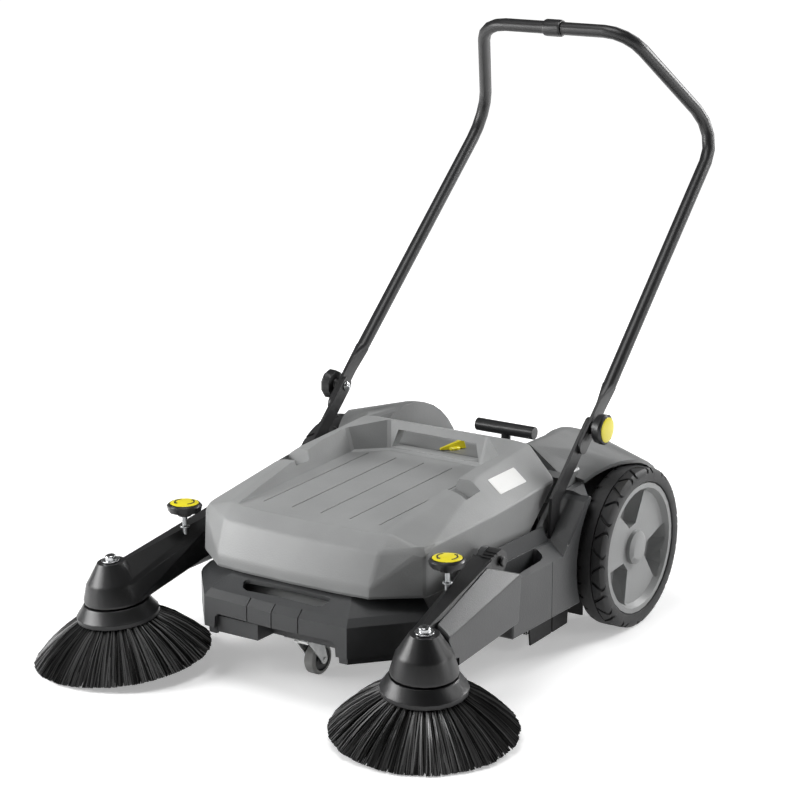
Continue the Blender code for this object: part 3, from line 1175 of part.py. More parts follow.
def handle_clip():
    profile = [(HANDLE_RADIUS + GAP, 0.018), (HANDLE_RADIUS + 0.003, 0.018), (HANDLE_RADIUS + 0.004, 0.014)]
    profile += [(HANDLE_RADIUS + 0.004, -0.014), (HANDLE_RADIUS + 0.003, -0.018), (HANDLE_RADIUS + GAP, -0.018)]
    place = Matrix.Translation((0, PIVOT_Y + HANDLE_TOP_REACH[1], PIVOT_Z + HANDLE_TOP_REACH[2])) @ Matrix.Rotation(pi / 2, 4, "Y")
    return turned("handle_clip", profile, 16, BLACK_PLASTIC, place, closed=True)


def pivot_place(side, x):
    return Matrix.Translation((side * x, PIVOT_Y, PIVOT_Z)) @ Matrix.Rotation(side * pi / 2, 4, "Y")


def pivot_bolt(side):
    """Round-headed bolt, its head on the inner face of the bracket."""
    label = "right" if side > 0 else "left"
    length = TAB_OUTER_X - BRACKET_X
    profile = [(0, length), (PIN_RADIUS, length), (PIN_RADIUS, -GAP), (0.0095, -GAP), (0.0095, -0.002)]
    profile += [(0.006, -0.0055), (0, -0.0065)]
    return turned(f"pivot_bolt_{label}", profile, 12, CHROME, pivot_place(side, BRACKET_X))


def clamp(side, fold):
    """Clamp knob on the pivot bolt, with its coloured cap."""
    label = "right" if side > 0 else "left"
    foot = pivot_place(side, TAB_OUTER_X + GAP)
    knob = loft(f"clamp_knob_{label}", knob_rings(CLAMP_RADIUS, CLAMP_HEIGHT, 0.012), BLACK_PLASTIC, foot)
    seat = foot @ Matrix.Translation((0, 0, CLAMP_HEIGHT + GAP))
    cap = turned(f"clamp_cap_{label}", cap_profile(CLAMP_RADIUS * CAP_SHARE), 18, YELLOW_PLASTIC, seat)
    axis = pivot(f"clamp_axis_{label}", foot)
    carry(fold, axis)
    carry(axis, knob, cap)


# Caster


def caster():
    swivel = Vector((0, CASTER_SWIVEL_Y, 0))
    hub_spot = Vector((0, CASTER_SWIVEL_Y + CASTER_TRAIL, CASTER_RADIUS))
    beam_low = BEAM_BOTTOM
    half = 0.028
    base = [(-half, -half), (half, -half), (half, half), (-half, half)]
    mount = plate("caster_plate", [[(x, CASTER_SWIVEL_Y + y) for x, y in base]], beam_low - 0.0033, beam_low - GAP,
                  ALONG_Z, ZINC)
    round_edges(mount, 0.0008, segments=1)
    head_top = beam_low - 0.0033 - GAP
    head = [(0, head_top), (0.017, head_top), (0.021, head_top - 0.003), (0.021, head_top - 0.006), (0, head_top - 0.006)]
    fork = turned("caster_fork", head, 14, ZINC, Matrix.Translation(swivel))
    crown_low = head_top - 0.0085
    inner = CASTER_WIDTH / 2 + 0.0015
    outer = inner + 0.0025
    crown = [(x, CASTER_SWIVEL_Y + y, z) for x in (-outer, outer) for y in (-0.018, 0.026)
             for z in (crown_low, head_top - 0.0055)]
    fuse(fork, hull("fork_crown", crown))
    for sign in (-1, 1):
        leg = [(CASTER_SWIVEL_Y - 0.014, crown_low + 0.0015)]
        leg += arc((hub_spot.y, hub_spot.z), 0.008, 1.1 * pi, 2.1 * pi, 7)
        leg += [(CASTER_SWIVEL_Y + 0.025, crown_low + 0.0015)]
        fuse(fork, plate(f"fork_leg_{sign}", [leg], sign * inner, sign * outer, ALONG_X))
    pin = rod("fork_pin", (-outer - 0.002, hub_spot.y, hub_spot.z), (outer + 0.002, hub_spot.y, hub_spot.z), 0.004, 12)
    fuse(fork, pin)
    side_on = Matrix.Translation(hub_spot) @ Matrix.Rotation(pi / 2, 4, "Y")
    w, r, seat = CASTER_WIDTH / 2, CASTER_RADIUS, CASTER_RADIUS - 0.007
    tread = [(seat + GAP, w), (r - 0.003, w), (r, w - 0.003), (r, -w + 0.003), (r - 0.003, -w), (seat + GAP, -w)]
    tyre_ring = turned("caster_tyre", tread, 20, GREY_RUBBER, side_on, closed=True)
    bore = 0.004 + RUNNING
    hub = [(bore, w), (0.009, w), (0.010, w - 0.003), (seat - 0.003, w - 0.003), (seat, w - 0.0005)]
    hub += [(r, -z) for r, z in reversed(hub)]
    core = turned("caster_hub", hub, 16, BLACK_PLASTIC, side_on, closed=True)
    turn = pivot("caster_swivel_axis", Matrix.Translation(swivel))
    roll = pivot("caster_roll_axis", Matrix.Translation(hub_spot))
    carry(turn, fork, roll)
    carry(roll, tyre_ring, core)
    return mount


def build():
    chassis_frame()
    front_bumper()
    rear_housing()
    rear_grip()
    roller_seal()
    rear_axle()
    caster()
    lift = pivot("container_lift_axis", Matrix.Translation((0, -0.15, BEAM_TOP)))
    carry(lift, waste_container())
    lever = pivot("roller_lever_axis", Matrix.Translation((0, HOOD_REAR_Y + 0.024, DECK_Z)))
    carry(lever, roller_lever())
    spin = pivot("roller_axis", Matrix.Translation((0, ROLLER_Y, ROLLER_Z)))
    carry(spin, roller_core(), roller_bristles(), roller_gear())
    fold = pivot("handle_fold_axis", Matrix.Translation((0, PIVOT_Y, PIVOT_Z)))
    carry(fold, handle_tube(), handle_clip())
    for label, side in SIDES.items():
        side_skirt(side)
        side_pod(side)
        hinge_pin(side)
        roller_bearing(side)
        handle_bracket(side)
        carry(fold, pivot_bolt(side))
        clamp(side, fold)
        axle = pivot(f"wheel_axis_{label}", Matrix.Translation((0, AXLE_Y, WHEEL_RADIUS)))
        carry(axle, tyre(side), rim(side))
        arm = pivot(f"arm_axis_{label}", Matrix.Translation((0, HINGE_Y, HINGE_Z)))
        ARM_PIVOTS[side] = arm
        carry(arm, side_arm(side), arm_cover(side), brush_spindle(side))
        sweep = pivot(f"brush_axis_{label}", brush_place(side))
        carry(arm, sweep)
        carry(sweep, brush_hub(side), brush_bristles(side))
        adjuster(side)


def finish_meshes():
    """Joins the doubled points that cuts leave, and shades smooth with sharp edges kept."""
    for piece in PARTS.objects:
        if piece.type != "MESH":
            continue
        if any(step.type == "BOOLEAN" for step in piece.modifiers):
            weld = piece.modifiers.new("Join points", "WELD")
            weld.merge_threshold = 0.00003
        piece.data.shade_smooth()
        piece.data.set_sharp_from_angle(angle=radians(35))


clear_scene()
PARTS = new_collection("walk_behind_sweeper")
CUTTERS = new_collection("sweeper_cutters")
ARM_PIVOTS = {}
GREY_PLASTIC = material("grey_plastic", (0.42, 0.43, 0.44), 0.45)
DARK_PLASTIC = material("dark_grey_plastic", (0.075, 0.080, 0.085), 0.45)
BLACK_PLASTIC = material("black_plastic", (0.012, 0.012, 0.013), 0.35)
YELLOW_PLASTIC = material("yellow_plastic", (0.85, 0.58, 0.01), 0.40)
RUBBER = material("black_rubber", (0.018, 0.018, 0.019), 0.75)
GREY_RUBBER = material("grey_rubber", (0.22, 0.22, 0.22), 0.70)
BRISTLE = material("black_bristle", (0.015, 0.015, 0.016), 0.60)
BLACK_STEEL = material("black_painted_steel", (0.014, 0.014, 0.015), 0.38)
STEEL = material("bright_steel", (0.56, 0.56, 0.57), 0.32, 1.0)
CHROME = material("chromed_steel", (0.75, 0.75, 0.76), 0.12, 1.0)
ZINC = material("zinc_plated_steel", (0.62, 0.62, 0.60), 0.35, 1.0)
build()
finish_meshes()
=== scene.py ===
"""Looks of the walk behind sweeper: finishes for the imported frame, full bristles, tyres and small fittings.

Metres, +Z up, the machine drives towards -Y, as in the frame.
"""
from math import atan, cos, hypot, pi, radians, sin, tan

import bpy
import numpy as np
from mathutils import Matrix, Vector


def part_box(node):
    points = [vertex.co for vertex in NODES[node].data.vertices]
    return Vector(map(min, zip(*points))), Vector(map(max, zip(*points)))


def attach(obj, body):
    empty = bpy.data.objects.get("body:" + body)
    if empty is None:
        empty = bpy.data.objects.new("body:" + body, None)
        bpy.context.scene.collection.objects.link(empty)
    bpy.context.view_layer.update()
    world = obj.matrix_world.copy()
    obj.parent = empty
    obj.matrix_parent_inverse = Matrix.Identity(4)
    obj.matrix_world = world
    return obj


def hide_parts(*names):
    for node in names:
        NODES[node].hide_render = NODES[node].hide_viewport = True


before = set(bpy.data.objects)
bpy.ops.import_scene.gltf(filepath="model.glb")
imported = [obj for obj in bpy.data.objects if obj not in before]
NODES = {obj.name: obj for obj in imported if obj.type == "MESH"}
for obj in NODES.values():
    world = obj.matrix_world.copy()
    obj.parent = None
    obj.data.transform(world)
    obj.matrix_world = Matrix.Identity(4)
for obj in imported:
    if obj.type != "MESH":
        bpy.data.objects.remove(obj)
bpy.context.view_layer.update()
SIDES = {"left": -1, "right": 1}

# Sizes that the frame was built to
AXLE_Y = 0.200
WHEEL_RADIUS = 0.144
WHEEL_OUTER_X = 0.340
BRUSH_X = 0.306
BRUSH_Y = -0.450
LEAN_FORWARD = radians(5.0)
LEAN_OUT = radians(3.4)
LEAN = atan(hypot(tan(LEAN_FORWARD), tan(LEAN_OUT)))
BRUSH_RADIUS = 0.1528
HUB_BOTTOM = 0.0855
SPINDLE_TOP = 0.1953
ROLLER_Y = 0.054332
ROLLER_Z = 0.1079
ROLLER_RADIUS = 0.1045
ROLLER_CORE = 0.0395
ROLLER_HALF_LENGTH = 0.228


# Finishes


def linear(hex_colour):
    """sRGB hex to a linear colour with alpha."""
    parts = [int(hex_colour[i:i + 2], 16) / 255 for i in (1, 3, 5)]
    return [c / 12.92 if c <= 0.04045 else ((c + 0.055) / 1.055) ** 2.4 for c in parts] + [1.0]


def per_mm(size):
    """Pattern scale that gives one repeat every so many millimetres."""
    return 1000.0 / size


def add(tree, kind, settings, links=None):
    """Adds a node, sets its sockets or properties by name, and links sockets to other nodes' outputs."""
    made = tree.nodes.new(kind)
    for key, value in settings.items():
        if isinstance(key, int) or key in made.inputs:
            made.inputs[key].default_value = value
        else:
            setattr(made, key, value)
    for key, source in (links or {}).items():
        tree.links.new(source, made.inputs[key])
    return made


def new_finish(name):
    """New material, with its node tree and its shader."""
    finish = bpy.data.materials.new(name)
    finish.use_nodes = True
    return finish, finish.node_tree, finish.node_tree.nodes["Principled BSDF"]


def noise(tree, size_mm, detail):
    """Cloudy pattern that is fixed to the piece, as an amount from 0 to 1."""
    spot = add(tree, "ShaderNodeTexCoord", {}).outputs["Object"]
    pattern = add(tree, "ShaderNodeTexNoise", {"Scale": per_mm(size_mm), "Detail": detail}, {"Vector": spot})
    return pattern.outputs["Fac"]


def shade(tree, shader, amount, places, colours):
    """Goes from the first colour to the second while the amount rises between two places."""
    ramp = add(tree, "ShaderNodeValToRGB", {}, {"Fac": amount})
    for stop, place, colour in zip(ramp.color_ramp.elements, places, colours):
        stop.position = place
        stop.color = linear(colour)
    tree.links.new(ramp.outputs["Color"], shader.inputs["Base Color"])


def roughen(tree, shader, amount, low, high):
    """Goes from the low to the high roughness with the amount."""
    gloss = add(tree, "ShaderNodeMapRange", {"To Min": low, "To Max": high}, {"Value": amount})
    tree.links.new(gloss.outputs["Result"], shader.inputs["Roughness"])


# Amounts between which the shade changes: of a skin's drift, a metal's clouds, a strand's tone and painted
# highlight
SKIN_DRIFT = (0.35, 0.70)
METAL_CLOUD = (0.35, 0.65)
STRAND_RANGE = (0.35, 1.0)
# How far the roughness strays: of a skin, as a share for metal, and of a strand
SKIN_GLOSS = 0.06
METAL_POLISH = 0.2
STRAND_GLOSS = 0.08
# Share of a grain's height that shows in the relief
RELIEF_SHARE = 0.5
# How finely the patterns break up: a skin's drift and grain, a metal's clouds and a strand's streaks
DRIFT_DETAIL, GRAIN_DETAIL, CLOUD_DETAIL, STREAK_DETAIL = 3.0, 2.0, 4.0, 1.0
STREAK_MM = 1.5
# Mesh attribute with each strand's shade: partly random tone, partly painted highlight
STRAND_TONE_AND_HIGHLIGHT = "strand_tone_and_painted_highlight"


def moulded(name, colours, roughness, grain_mm, grain_height, ior=1.49, blotch_mm=90.0):
    """Moulded, coated or printed skin: slow drift in its shade, and a grain in its relief and gloss."""
    finish, tree, shader = new_finish(name)
    shade(tree, shader, noise(tree, blotch_mm, DRIFT_DETAIL), SKIN_DRIFT, colours)
    grain = noise(tree, grain_mm, GRAIN_DETAIL)
    roughen(tree, shader, grain, roughness - SKIN_GLOSS, roughness + SKIN_GLOSS)
    relief = add(tree, "ShaderNodeBump", {"Strength": RELIEF_SHARE, "Distance": grain_height},
                 {"Height": grain})
    tree.links.new(relief.outputs["Normal"], shader.inputs["Normal"])
    shader.inputs["IOR"].default_value = ior
    return finish


def plated(name, colours, roughness, patch_mm):
    """Bright metal: faint cloudy patches in its shade and polish."""
    finish, tree, shader = new_finish(name)
    cloud = noise(tree, patch_mm, CLOUD_DETAIL)
    shade(tree, shader, cloud, METAL_CLOUD, colours)
    roughen(tree, shader, cloud, roughness * (1 - METAL_POLISH), roughness * (1 + METAL_POLISH))
    shader.inputs["Metallic"].default_value = 1.0
    return finish


def drawn_strand(name, colours, roughness):
    """Drawn plastic filament: each strand has its own shade, partly random tone and partly painted highlight,
    and its gloss changes along it.
    """
    finish, tree, shader = new_finish(name)
    own = add(tree, "ShaderNodeAttribute", {"attribute_name": STRAND_TONE_AND_HIGHLIGHT}).outputs["Fac"]
    shade(tree, shader, own, STRAND_RANGE, colours)
    streaks = noise(tree, STREAK_MM, STREAK_DETAIL)
    roughen(tree, shader, streaks, roughness - STRAND_GLOSS, roughness + STRAND_GLOSS)
    return finish


# Moulded polypropylene, mid grey: satin, with a fine eroded grain drawn coarser than its real 0.4 mm to show
GREY_PP = moulded("moulded_polypropylene_grey", ("#949595", "#9B9C9C"), 0.40, 2.6, 0.0005)
# The same plastic, a shade darker: painted shade on the rear housing
GREY_PP_PAINTED_SHADE = moulded("moulded_polypropylene_grey_painted_shade", ("#737474", "#7A7B7B"), 0.38, 2.6, 0.0005)
# Moulded polypropylene, anthracite: the same grain, dark enough for its sheen to show along the slopes
DARK_PP = moulded("moulded_polypropylene_anthracite", ("#424344", "#494A4B"), 0.35, 2.6, 0.0005)
# Glass-filled polyamide, black: a smoother tool and a finer grain, so its highlights are crisp
BLACK_PA = moulded("moulded_polyamide_black", ("#1B1B1C", "#222223"), 0.36, 1.2, 0.0002, ior=1.53)
# ABS, signal yellow: gloss moulding with a faint orange-peel skin
YELLOW_ABS = moulded("moulded_abs_yellow", ("#F0E022", "#F5E72E"), 0.30, 3.0, 0.0002, ior=1.54,
                     blotch_mm=30.0)
# Tyre rubber, black: matt, faintly blotched, with a rough skin of about 2 mm
TYRE_RUBBER = moulded("moulded_rubber_black", ("#1E1E1F", "#262627"), 0.58, 1.8, 0.0005, ior=1.52,
                      blotch_mm=25.0)
# Non-marking rubber, grey: the same skin in a pale mix
CASTER_RUBBER = moulded("moulded_rubber_grey", ("#B2B2B0", "#BCBCBA"), 0.60, 1.5, 0.0004, ior=1.52,
                        blotch_mm=15.0)
# Polypropylene strand, black: drawn filament with a bright line along each strand, some strands greyer at
# random and some as painted highlight
BRISTLE_PP = drawn_strand("drawn_polypropylene_bristle", ("#0F0F0F", "#7C7C7C"), 0.30)
# Powder-coated steel, black: fine orange peel of about 2 mm over a smooth tube
POWDER_STEEL = moulded("powder_coated_steel_black", ("#1F1F20", "#262627"), 0.38, 2.2, 0.0001, ior=1.52)
# Chromed steel: near mirror
CHROME = plated("polished_chromed_steel", ("#B6B7B9", "#C6C7C8"), 0.18, 9.0)
# Zinc-plated steel: pale, slightly clouded
ZINC = plated("zinc_plated_steel", ("#BFC0C0", "#D2D3D2"), 0.30, 12.0)
# Drawn steel bar: greyer and duller than the plated parts
STEEL = plated("drawn_steel", ("#8E9092", "#A3A5A6"), 0.32, 14.0)
# Label film: smooth white vinyl with a soft sheen
LABEL_FILM = moulded("label_film_white", ("#F0F0EE", "#F2F2F0"), 0.30, 5.0, 0.00002, ior=1.46)


def each_side(values):
    """Spells out the names that end in an underscore for the left and the right."""
    spelled = {}
    for name, value in values.items():
        ends = SIDES if name.endswith("_") else ("",)
        spelled.update({name + end: value for end in ends})
    return spelled


SLOT_FINISH = {
    "grey_plastic": GREY_PP,
    "dark_grey_plastic": DARK_PP,
    "black_plastic": BLACK_PA,
    "yellow_plastic": YELLOW_ABS,
    "black_rubber": TYRE_RUBBER,
    "grey_rubber": CASTER_RUBBER,
    "black_bristle": BRISTLE_PP,
    "black_painted_steel": POWDER_STEEL,
    "bright_steel": STEEL,
    "chromed_steel": CHROME,
    "zinc_plated_steel": ZINC,
}
# Nodes that look different from the rest of their slot; the rear housing's darker grey is painted shade
NODE_FINISH = each_side({"rear_housing": GREY_PP_PAINTED_SHADE, "hinge_pin_": POWDER_STEEL, "adjuster_screw_": STEEL})
# Mouldings with flat facets: the least angle, in degrees, between two facets that meet at a moulded edge
FACET_ANGLE = each_side({
    "waste_container": 12,
    "front_bumper": 14,
    "side_pod_": 14,
    "arm_cover_": 14,
    "rear_housing": 25,
    "side_arm_": 24,
    "brush_hub_": 24,
})
ROUND_ANGLE = 38
# Width of the softened edges
EDGE_SOFTNESS = each_side({"waste_container": 0.0012, "side_pod_": 0.0018, "front_bumper": 0.0014})
SMALL_EDGE = 0.0008
EDGE_STEPS = 2
SEAM_GAP = 0.00001
# How far large faces outweigh small ones in the shading, where 50 is even
FLAT_WEIGHT = 95
# Nodes that new pieces replace
COVERED = ("tyre_", "brush_bristles_", "roller_bristles")


def finish_frame():
    """Gives every frame node its finish by the slot it was packed with, soft edges and even shading."""
    for name, piece in NODES.items():
        packed = piece.data.materials[0].name.split(".")[0]
        piece.data.materials[0] = NODE_FINISH.get(name, SLOT_FINISH[packed])
        if name.startswith(COVERED):
            continue
        piece.data.shade_smooth()
        weld = piece.modifiers.new("Join seams", "WELD")
        weld.merge_threshold = SEAM_GAP
        soft = piece.modifiers.new("Soft edges", "BEVEL")
        soft.width = EDGE_SOFTNESS.get(name, SMALL_EDGE)
        soft.segments = EDGE_STEPS
        soft.limit_method = "ANGLE"
        soft.angle_limit = radians(FACET_ANGLE.get(name, ROUND_ANGLE))
        even = piece.modifiers.new("Even shading", "WEIGHTED_NORMAL")
        even.weight = FLAT_WEIGHT
        even.keep_sharp = False


# New pieces

SMOOTH_ANGLE = radians(35)


def new_piece(name, points, faces, finish, body, place=None):
    """New visible piece that rides a body."""
    mesh = bpy.data.meshes.new(name)
    mesh.from_pydata(points, [], faces)
    mesh.shade_smooth()
    mesh.set_sharp_from_angle(angle=SMOOTH_ANGLE)
    mesh.materials.append(finish)
    piece = bpy.data.objects.new(name, mesh)
    bpy.context.scene.collection.objects.link(piece)
    if place is not None:
        mesh.transform(place)
    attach(piece, body)
    return piece


def unit(vectors):
    return vectors / np.linalg.norm(vectors, axis=-1, keepdims=True)


def on_circle(radius, angle):
    return radius * cos(angle), radius * sin(angle)


# Bristles

# Any direction that no strand runs along, to set out a strand's sides from
STRAND_SIDEWAYS = np.array([0.31, 0.87, 0.38])
STRAND_SIDES = 3


def strands(roots, mids, tips, root_radius, tip_radius, rings):
    """Points and faces of closed thin strands, each bent from its root by its mid point to its tip."""
    t = np.linspace(0, 1, rings)[None, :, None]
    start, middle, end = roots[:, None], mids[:, None], tips[:, None]
    line = (1 - t) ** 2 * start + 2 * t * (1 - t) * middle + t ** 2 * end
    ahead = unit((1 - t) * (middle - start) + t * (end - middle))
    across = unit(np.cross(ahead, STRAND_SIDEWAYS))
    other = np.cross(ahead, across)
    sides = STRAND_SIDES
    turn = 2 * pi * np.arange(sides) / sides
    radius = root_radius + (tip_radius - root_radius) * t
    ring = np.cos(turn)[:, None] * across[:, :, None] + np.sin(turn)[:, None] * other[:, :, None]
    points = (line[:, :, None] + radius[..., None] * ring).reshape(-1, 3)
    faces = []
    per_strand = rings * sides
    for strand in range(len(roots)):
        base = strand * per_strand
        faces.append([base + k for k in range(sides)][::-1])
        for r in range(rings - 1):
            low = base + r * sides
            for k in range(sides):
                n = (k + 1) % sides
                faces.append((low + k, low + n, low + sides + n, low + sides + k))
        faces.append([base + per_strand - sides + k for k in range(sides)])
    return points, faces


def shade_strands(brush, shades):
    """Stores each strand's shade, random tone and painted highlight, on its points."""
    held = brush.data.attributes.new(STRAND_TONE_AND_HIGHLIGHT, "FLOAT", "POINT")
    points_each = len(brush.data.vertices) // len(shades)
    held.data.foreach_set("value", np.repeat(shades, points_each).astype(np.float32))


# Root ring, reach, tufts and strands a tuft of each row of a side brush
BRUSH_ROWS = (
    (0.0660, BRUSH_RADIUS, 46, 34),
    (0.0560, BRUSH_RADIUS - 0.007, 40, 30),
    (0.0450, BRUSH_RADIUS - 0.020, 34, 18),
)
BRUSH_SEED = {"left": 12, "right": 11}
# Radius of a strand at its root and its tip and its count of rings, and the room that its thickness takes
SIDE_STRAND = (0.00115, 0.00105, 5)
STRAND_ROOM = 0.0012
# Shares of the pitch between tufts: how far a tuft strays, half its foot, half its fan, and a strand's stray
TUFT_STRAY, TUFT_FOOT, TUFT_FAN, FAN_STRAY = 0.10, 0.26, 0.50, 0.05
# How far a root lies inside and outside its ring
ROOT_IN, ROOT_OUT = -0.0050, 0.0015
# Spread of a tuft's length, of a strand's length and of a tip's height
TRIM_SPREAD, REACH_SPREAD, TIP_SPREAD = 0.0010, 0.0016, 0.0010
# Rise of a tuft's middle strands, how much less its edge strands rise, and the spread
CROWN, CROWN_FALL, CROWN_SPREAD = 0.0080, 0.0060, 0.0008
# What a strand further out in its tuft gains, per metre: reach, rise and shade, the last being painted shade
# that darkens strands rooted further in
OUTER_REACH, OUTER_RISE, OUTER_PAINTED_SHADE = 0.3, 0.5, 60
# Middle and spread of a strand's shade: partly random tone, partly painted highlight
SHADE_MIDDLE, SHADE_SPREAD = 0.55, 0.28


def brush_place(side):
    """Place of a side brush, which leans forward and out."""
    up = Vector((side * tan(LEAN_OUT), -tan(LEAN_FORWARD), 1)).normalized()
    return Matrix.Translation((side * BRUSH_X, BRUSH_Y, 0)) @ up.to_track_quat("Z", "Y").to_matrix().to_4x4()


def side_brush(label, side):
    """Rows of splayed tufts under the hub ring, each tuft crowned along its middle."""
    draw = np.random.default_rng(BRUSH_SEED[label])
    roots, mids, tips, shades = [], [], [], []
    for ring, reach, tufts, count in BRUSH_ROWS:
        pitch = 2 * pi / tufts
        for i in range(tufts):
            heading = pitch * (i + draw.uniform(-TUFT_STRAY, TUFT_STRAY))
            trim = draw.normal(0, TRIM_SPREAD)
            for _ in range(count):
                aside = draw.uniform(-1.0, 1.0)
                deep = draw.uniform(ROOT_IN, ROOT_OUT)
                turn = heading + aside * TUFT_FOOT * pitch
                root = np.array([*on_circle(ring + deep, turn), HUB_BOTTOM - STRAND_ROOM])
                fan = heading + aside * TUFT_FAN * pitch + draw.normal(0, FAN_STRAY) * pitch
                length = reach - STRAND_ROOM + trim - abs(draw.normal(0, REACH_SPREAD)) + OUTER_REACH * deep
                out = min(reach, length)
                low = (out * sin(LEAN) + STRAND_ROOM) / cos(LEAN) + abs(draw.normal(0, TIP_SPREAD))
                tip = np.array([*on_circle(out, fan), low])
                rise = CROWN + OUTER_RISE * deep - CROWN_FALL * aside ** 2 + draw.normal(0, CROWN_SPREAD)
                roots.append(root)
                mids.append((root + tip) / 2 + np.array([*on_circle(1.0, heading), 1.0]) * rise)
                tips.append(tip)
                # Painted shade: strands rooted further in are darker
                tone_and_painted_light = draw.normal(SHADE_MIDDLE, SHADE_SPREAD) + OUTER_PAINTED_SHADE * deep
                shades.append(np.clip(tone_and_painted_light, 0, 1))
    points, faces = strands(np.array(roots), np.array(mids), np.array(tips), *SIDE_STRAND)
    brush = new_piece(f"side_brush_strands_{label}", points, faces, BRISTLE_PP, f"brush_{label}",
                      brush_place(side))
    shade_strands(brush, np.array(shades))
    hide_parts(f"brush_bristles_{label}")


# Rows round the roller, tufts along a row and strands a tuft
ROLLER_ROWS, ROLLER_TUFTS, ROLLER_COUNT = 10, 40, 9
ROLLER_SEED = 21
ROLLER_STRAND = (0.0009, 0.0007, 3)
# Share of a row's pitch at which the first row starts, and how far a row turns from the middle to its ends
FIRST_ROW = 0.375
CHEVRON_TURN = radians(40)
# Farthest that a strand's middle line lies from the roller's middle
ROLLER_END = ROLLER_HALF_LENGTH - 0.001
# Spread of the roots along and round the roller, and of the tips round, out and along
ROOT_ALONG, ROOT_ROUND = 0.0012, 0.02
TIP_ROUND, TIP_OUT, TIP_ALONG = 0.075, 0.0012, 0.004
ROLLER_WAVE = 0.001
# Darkest and palest strand: random tone on the bristle ramp, whose pale end is painted highlight
ROLLER_SHADES = (0.0, 0.5)


def within_roller(x):
    return max(-ROLLER_END, min(ROLLER_END, x))


def roller_brush():
    """Chevron rows of tufts round the roller core."""
    draw = np.random.default_rng(ROLLER_SEED)
    roots, tips = [], []
    for row in range(ROLLER_ROWS):
        for i in range(ROLLER_TUFTS):
            along = -1 + 2 * (i + 0.5) / ROLLER_TUFTS
            heading = 2 * pi * (row + FIRST_ROW) / ROLLER_ROWS + abs(along) * CHEVRON_TURN
            for _ in range(ROLLER_COUNT):
                x = within_roller(along * ROLLER_HALF_LENGTH + draw.normal(0, ROOT_ALONG))
                start = heading + draw.normal(0, ROOT_ROUND)
                fan = heading + draw.normal(0, TIP_ROUND)
                out = ROLLER_RADIUS - abs(draw.normal(0, TIP_OUT))
                tip_x = within_roller(x + draw.normal(0, TIP_ALONG))
                roots.append((*on_circle(ROLLER_CORE, start), x))
                tips.append((*on_circle(out, fan), tip_x))
    roots, tips = np.array(roots), np.array(tips)
    mids = (roots + tips) / 2 + draw.normal(0, ROLLER_WAVE, roots.shape)
    place = Matrix.Translation((0, ROLLER_Y, ROLLER_Z)) @ Matrix.Rotation(pi / 2, 4, "Y")
    points, faces = strands(roots, mids, tips, *ROLLER_STRAND)
    brush = new_piece("roller_strands", points, faces, BRISTLE_PP, "roller", place)
    shade_strands(brush, draw.uniform(*ROLLER_SHADES, len(roots)))
    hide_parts("roller_bristles")


# Tyres

# Rows across the tyre from its outer bead round to its inner bead: set-in from the outer face, radius,
# share of the slots' depth, and share of the slots' slant
TYRE_ROWS = (
    (0.0052, 0.1186, 0.0, 0.0), (0.0020, 0.1200, 0.0, 0.0), (0.0005, 0.1232, 0.0, 0.0),
    (0.0003, 0.1330, 0.0, 0.0), (0.0014, 0.1372, 0.6, 0.6), (0.0040, 0.1412, 1.0, 1.0),
    (0.0062, 0.1432, 1.0, 1.0), (0.0120, 0.1438, 1.0, 1.0), (0.0180, 0.1438, 1.0, 1.0),
    (0.0226, 0.1434, 1.0, 1.0), (0.0230, 0.1402, 0.0, 1.0), (0.0246, 0.1402, 0.0, 0.3),
    (0.0250, 0.1434, 0.0, 0.0), (0.0310, 0.1439, 0.0, 0.0), (0.0430, 0.1439, 0.0, 0.0),
    (0.0480, 0.1436, 0.4, 0.0), (0.0530, 0.1418, 0.8, 0.0), (0.0566, 0.1370, 0.3, 0.0),
    (0.0578, 0.1300, 0.0, 0.0), (0.0572, 0.1215, 0.0, 0.0), (0.0540, 0.1186, 0.0, 0.0),
)
TYRE_SLOTS = 30
SLOT_DEPTH = 0.0050
# Radians that a slot swings per metre across the tyre, and the set-in at which it is level
SLOT_SLANT = 5.6
LUG_MIDDLE = 0.0143
# Places within one slot pitch, and the share of the slot's depth at each
SLOT_WIDTH = 0.22
SLOT_STEPS = (
    (0.00, 0.0), (0.025, 1.0), (0.195, 1.0), (SLOT_WIDTH, 0.0),
    (0.36, 0.0), (0.52, 0.0), (0.68, 0.0), (0.84, 0.0),
)


def lugged_tyre(label, side):
    """Tyre with a plain inner band, a groove, and an outer band of lugs between slots that slant by turns."""
    around = TYRE_SLOTS * len(SLOT_STEPS)
    points = []
    for set_in, radius, cut, slanted in TYRE_ROWS:
        x = side * (WHEEL_OUTER_X - set_in)
        lean = SLOT_SLANT * (set_in - LUG_MIDDLE) * slanted
        for slot in range(TYRE_SLOTS):
            here = 1 if slot % 2 else -1
            for place, depth in SLOT_STEPS:
                swing = here * (1 - 2 * max(0.0, place - SLOT_WIDTH) / (1 - SLOT_WIDTH))
                angle = 2 * pi * (slot + place) / TYRE_SLOTS + swing * lean
                reach = radius - SLOT_DEPTH * cut * depth
                points.append((x, AXLE_Y + reach * cos(angle), WHEEL_RADIUS + reach * sin(angle)))
    rows = len(TYRE_ROWS)
    faces = []
    for row in range(rows):
        for k in range(around):
            low, high = row * around, (row + 1) % rows * around
            quad = (low + k, low + (k + 1) % around, high + (k + 1) % around, high + k)
            faces.append(quad[::-side])
    tyre = new_piece(f"lugged_tyre_{label}", points, faces, TYRE_RUBBER, f"wheel_{label}")
    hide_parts(f"tyre_{label}")


# Plate, arrows, sockets and ribs


def slab(outline, base, top, inset):
    """Points and faces of a flat plate with a sloped edge, from an outline in its own plane."""
    middle = np.mean(outline, axis=0)
    outline = np.array(outline)
    shrunk = outline + inset * unit(middle - outline)
    shoulder = (base + 2 * top) / 3
    points = [(*p, base) for p in outline] + [(*p, shoulder) for p in outline] + [(*p, top) for p in shrunk]
    count = len(outline)
    faces = [tuple(range(count))[::-1], tuple(range(2 * count, 3 * count))]
    for level in (0, count):
        faces += [(level + k, level + (k + 1) % count, level + count + (k + 1) % count, level + count + k)
                  for k in range(count)]
    return points, faces


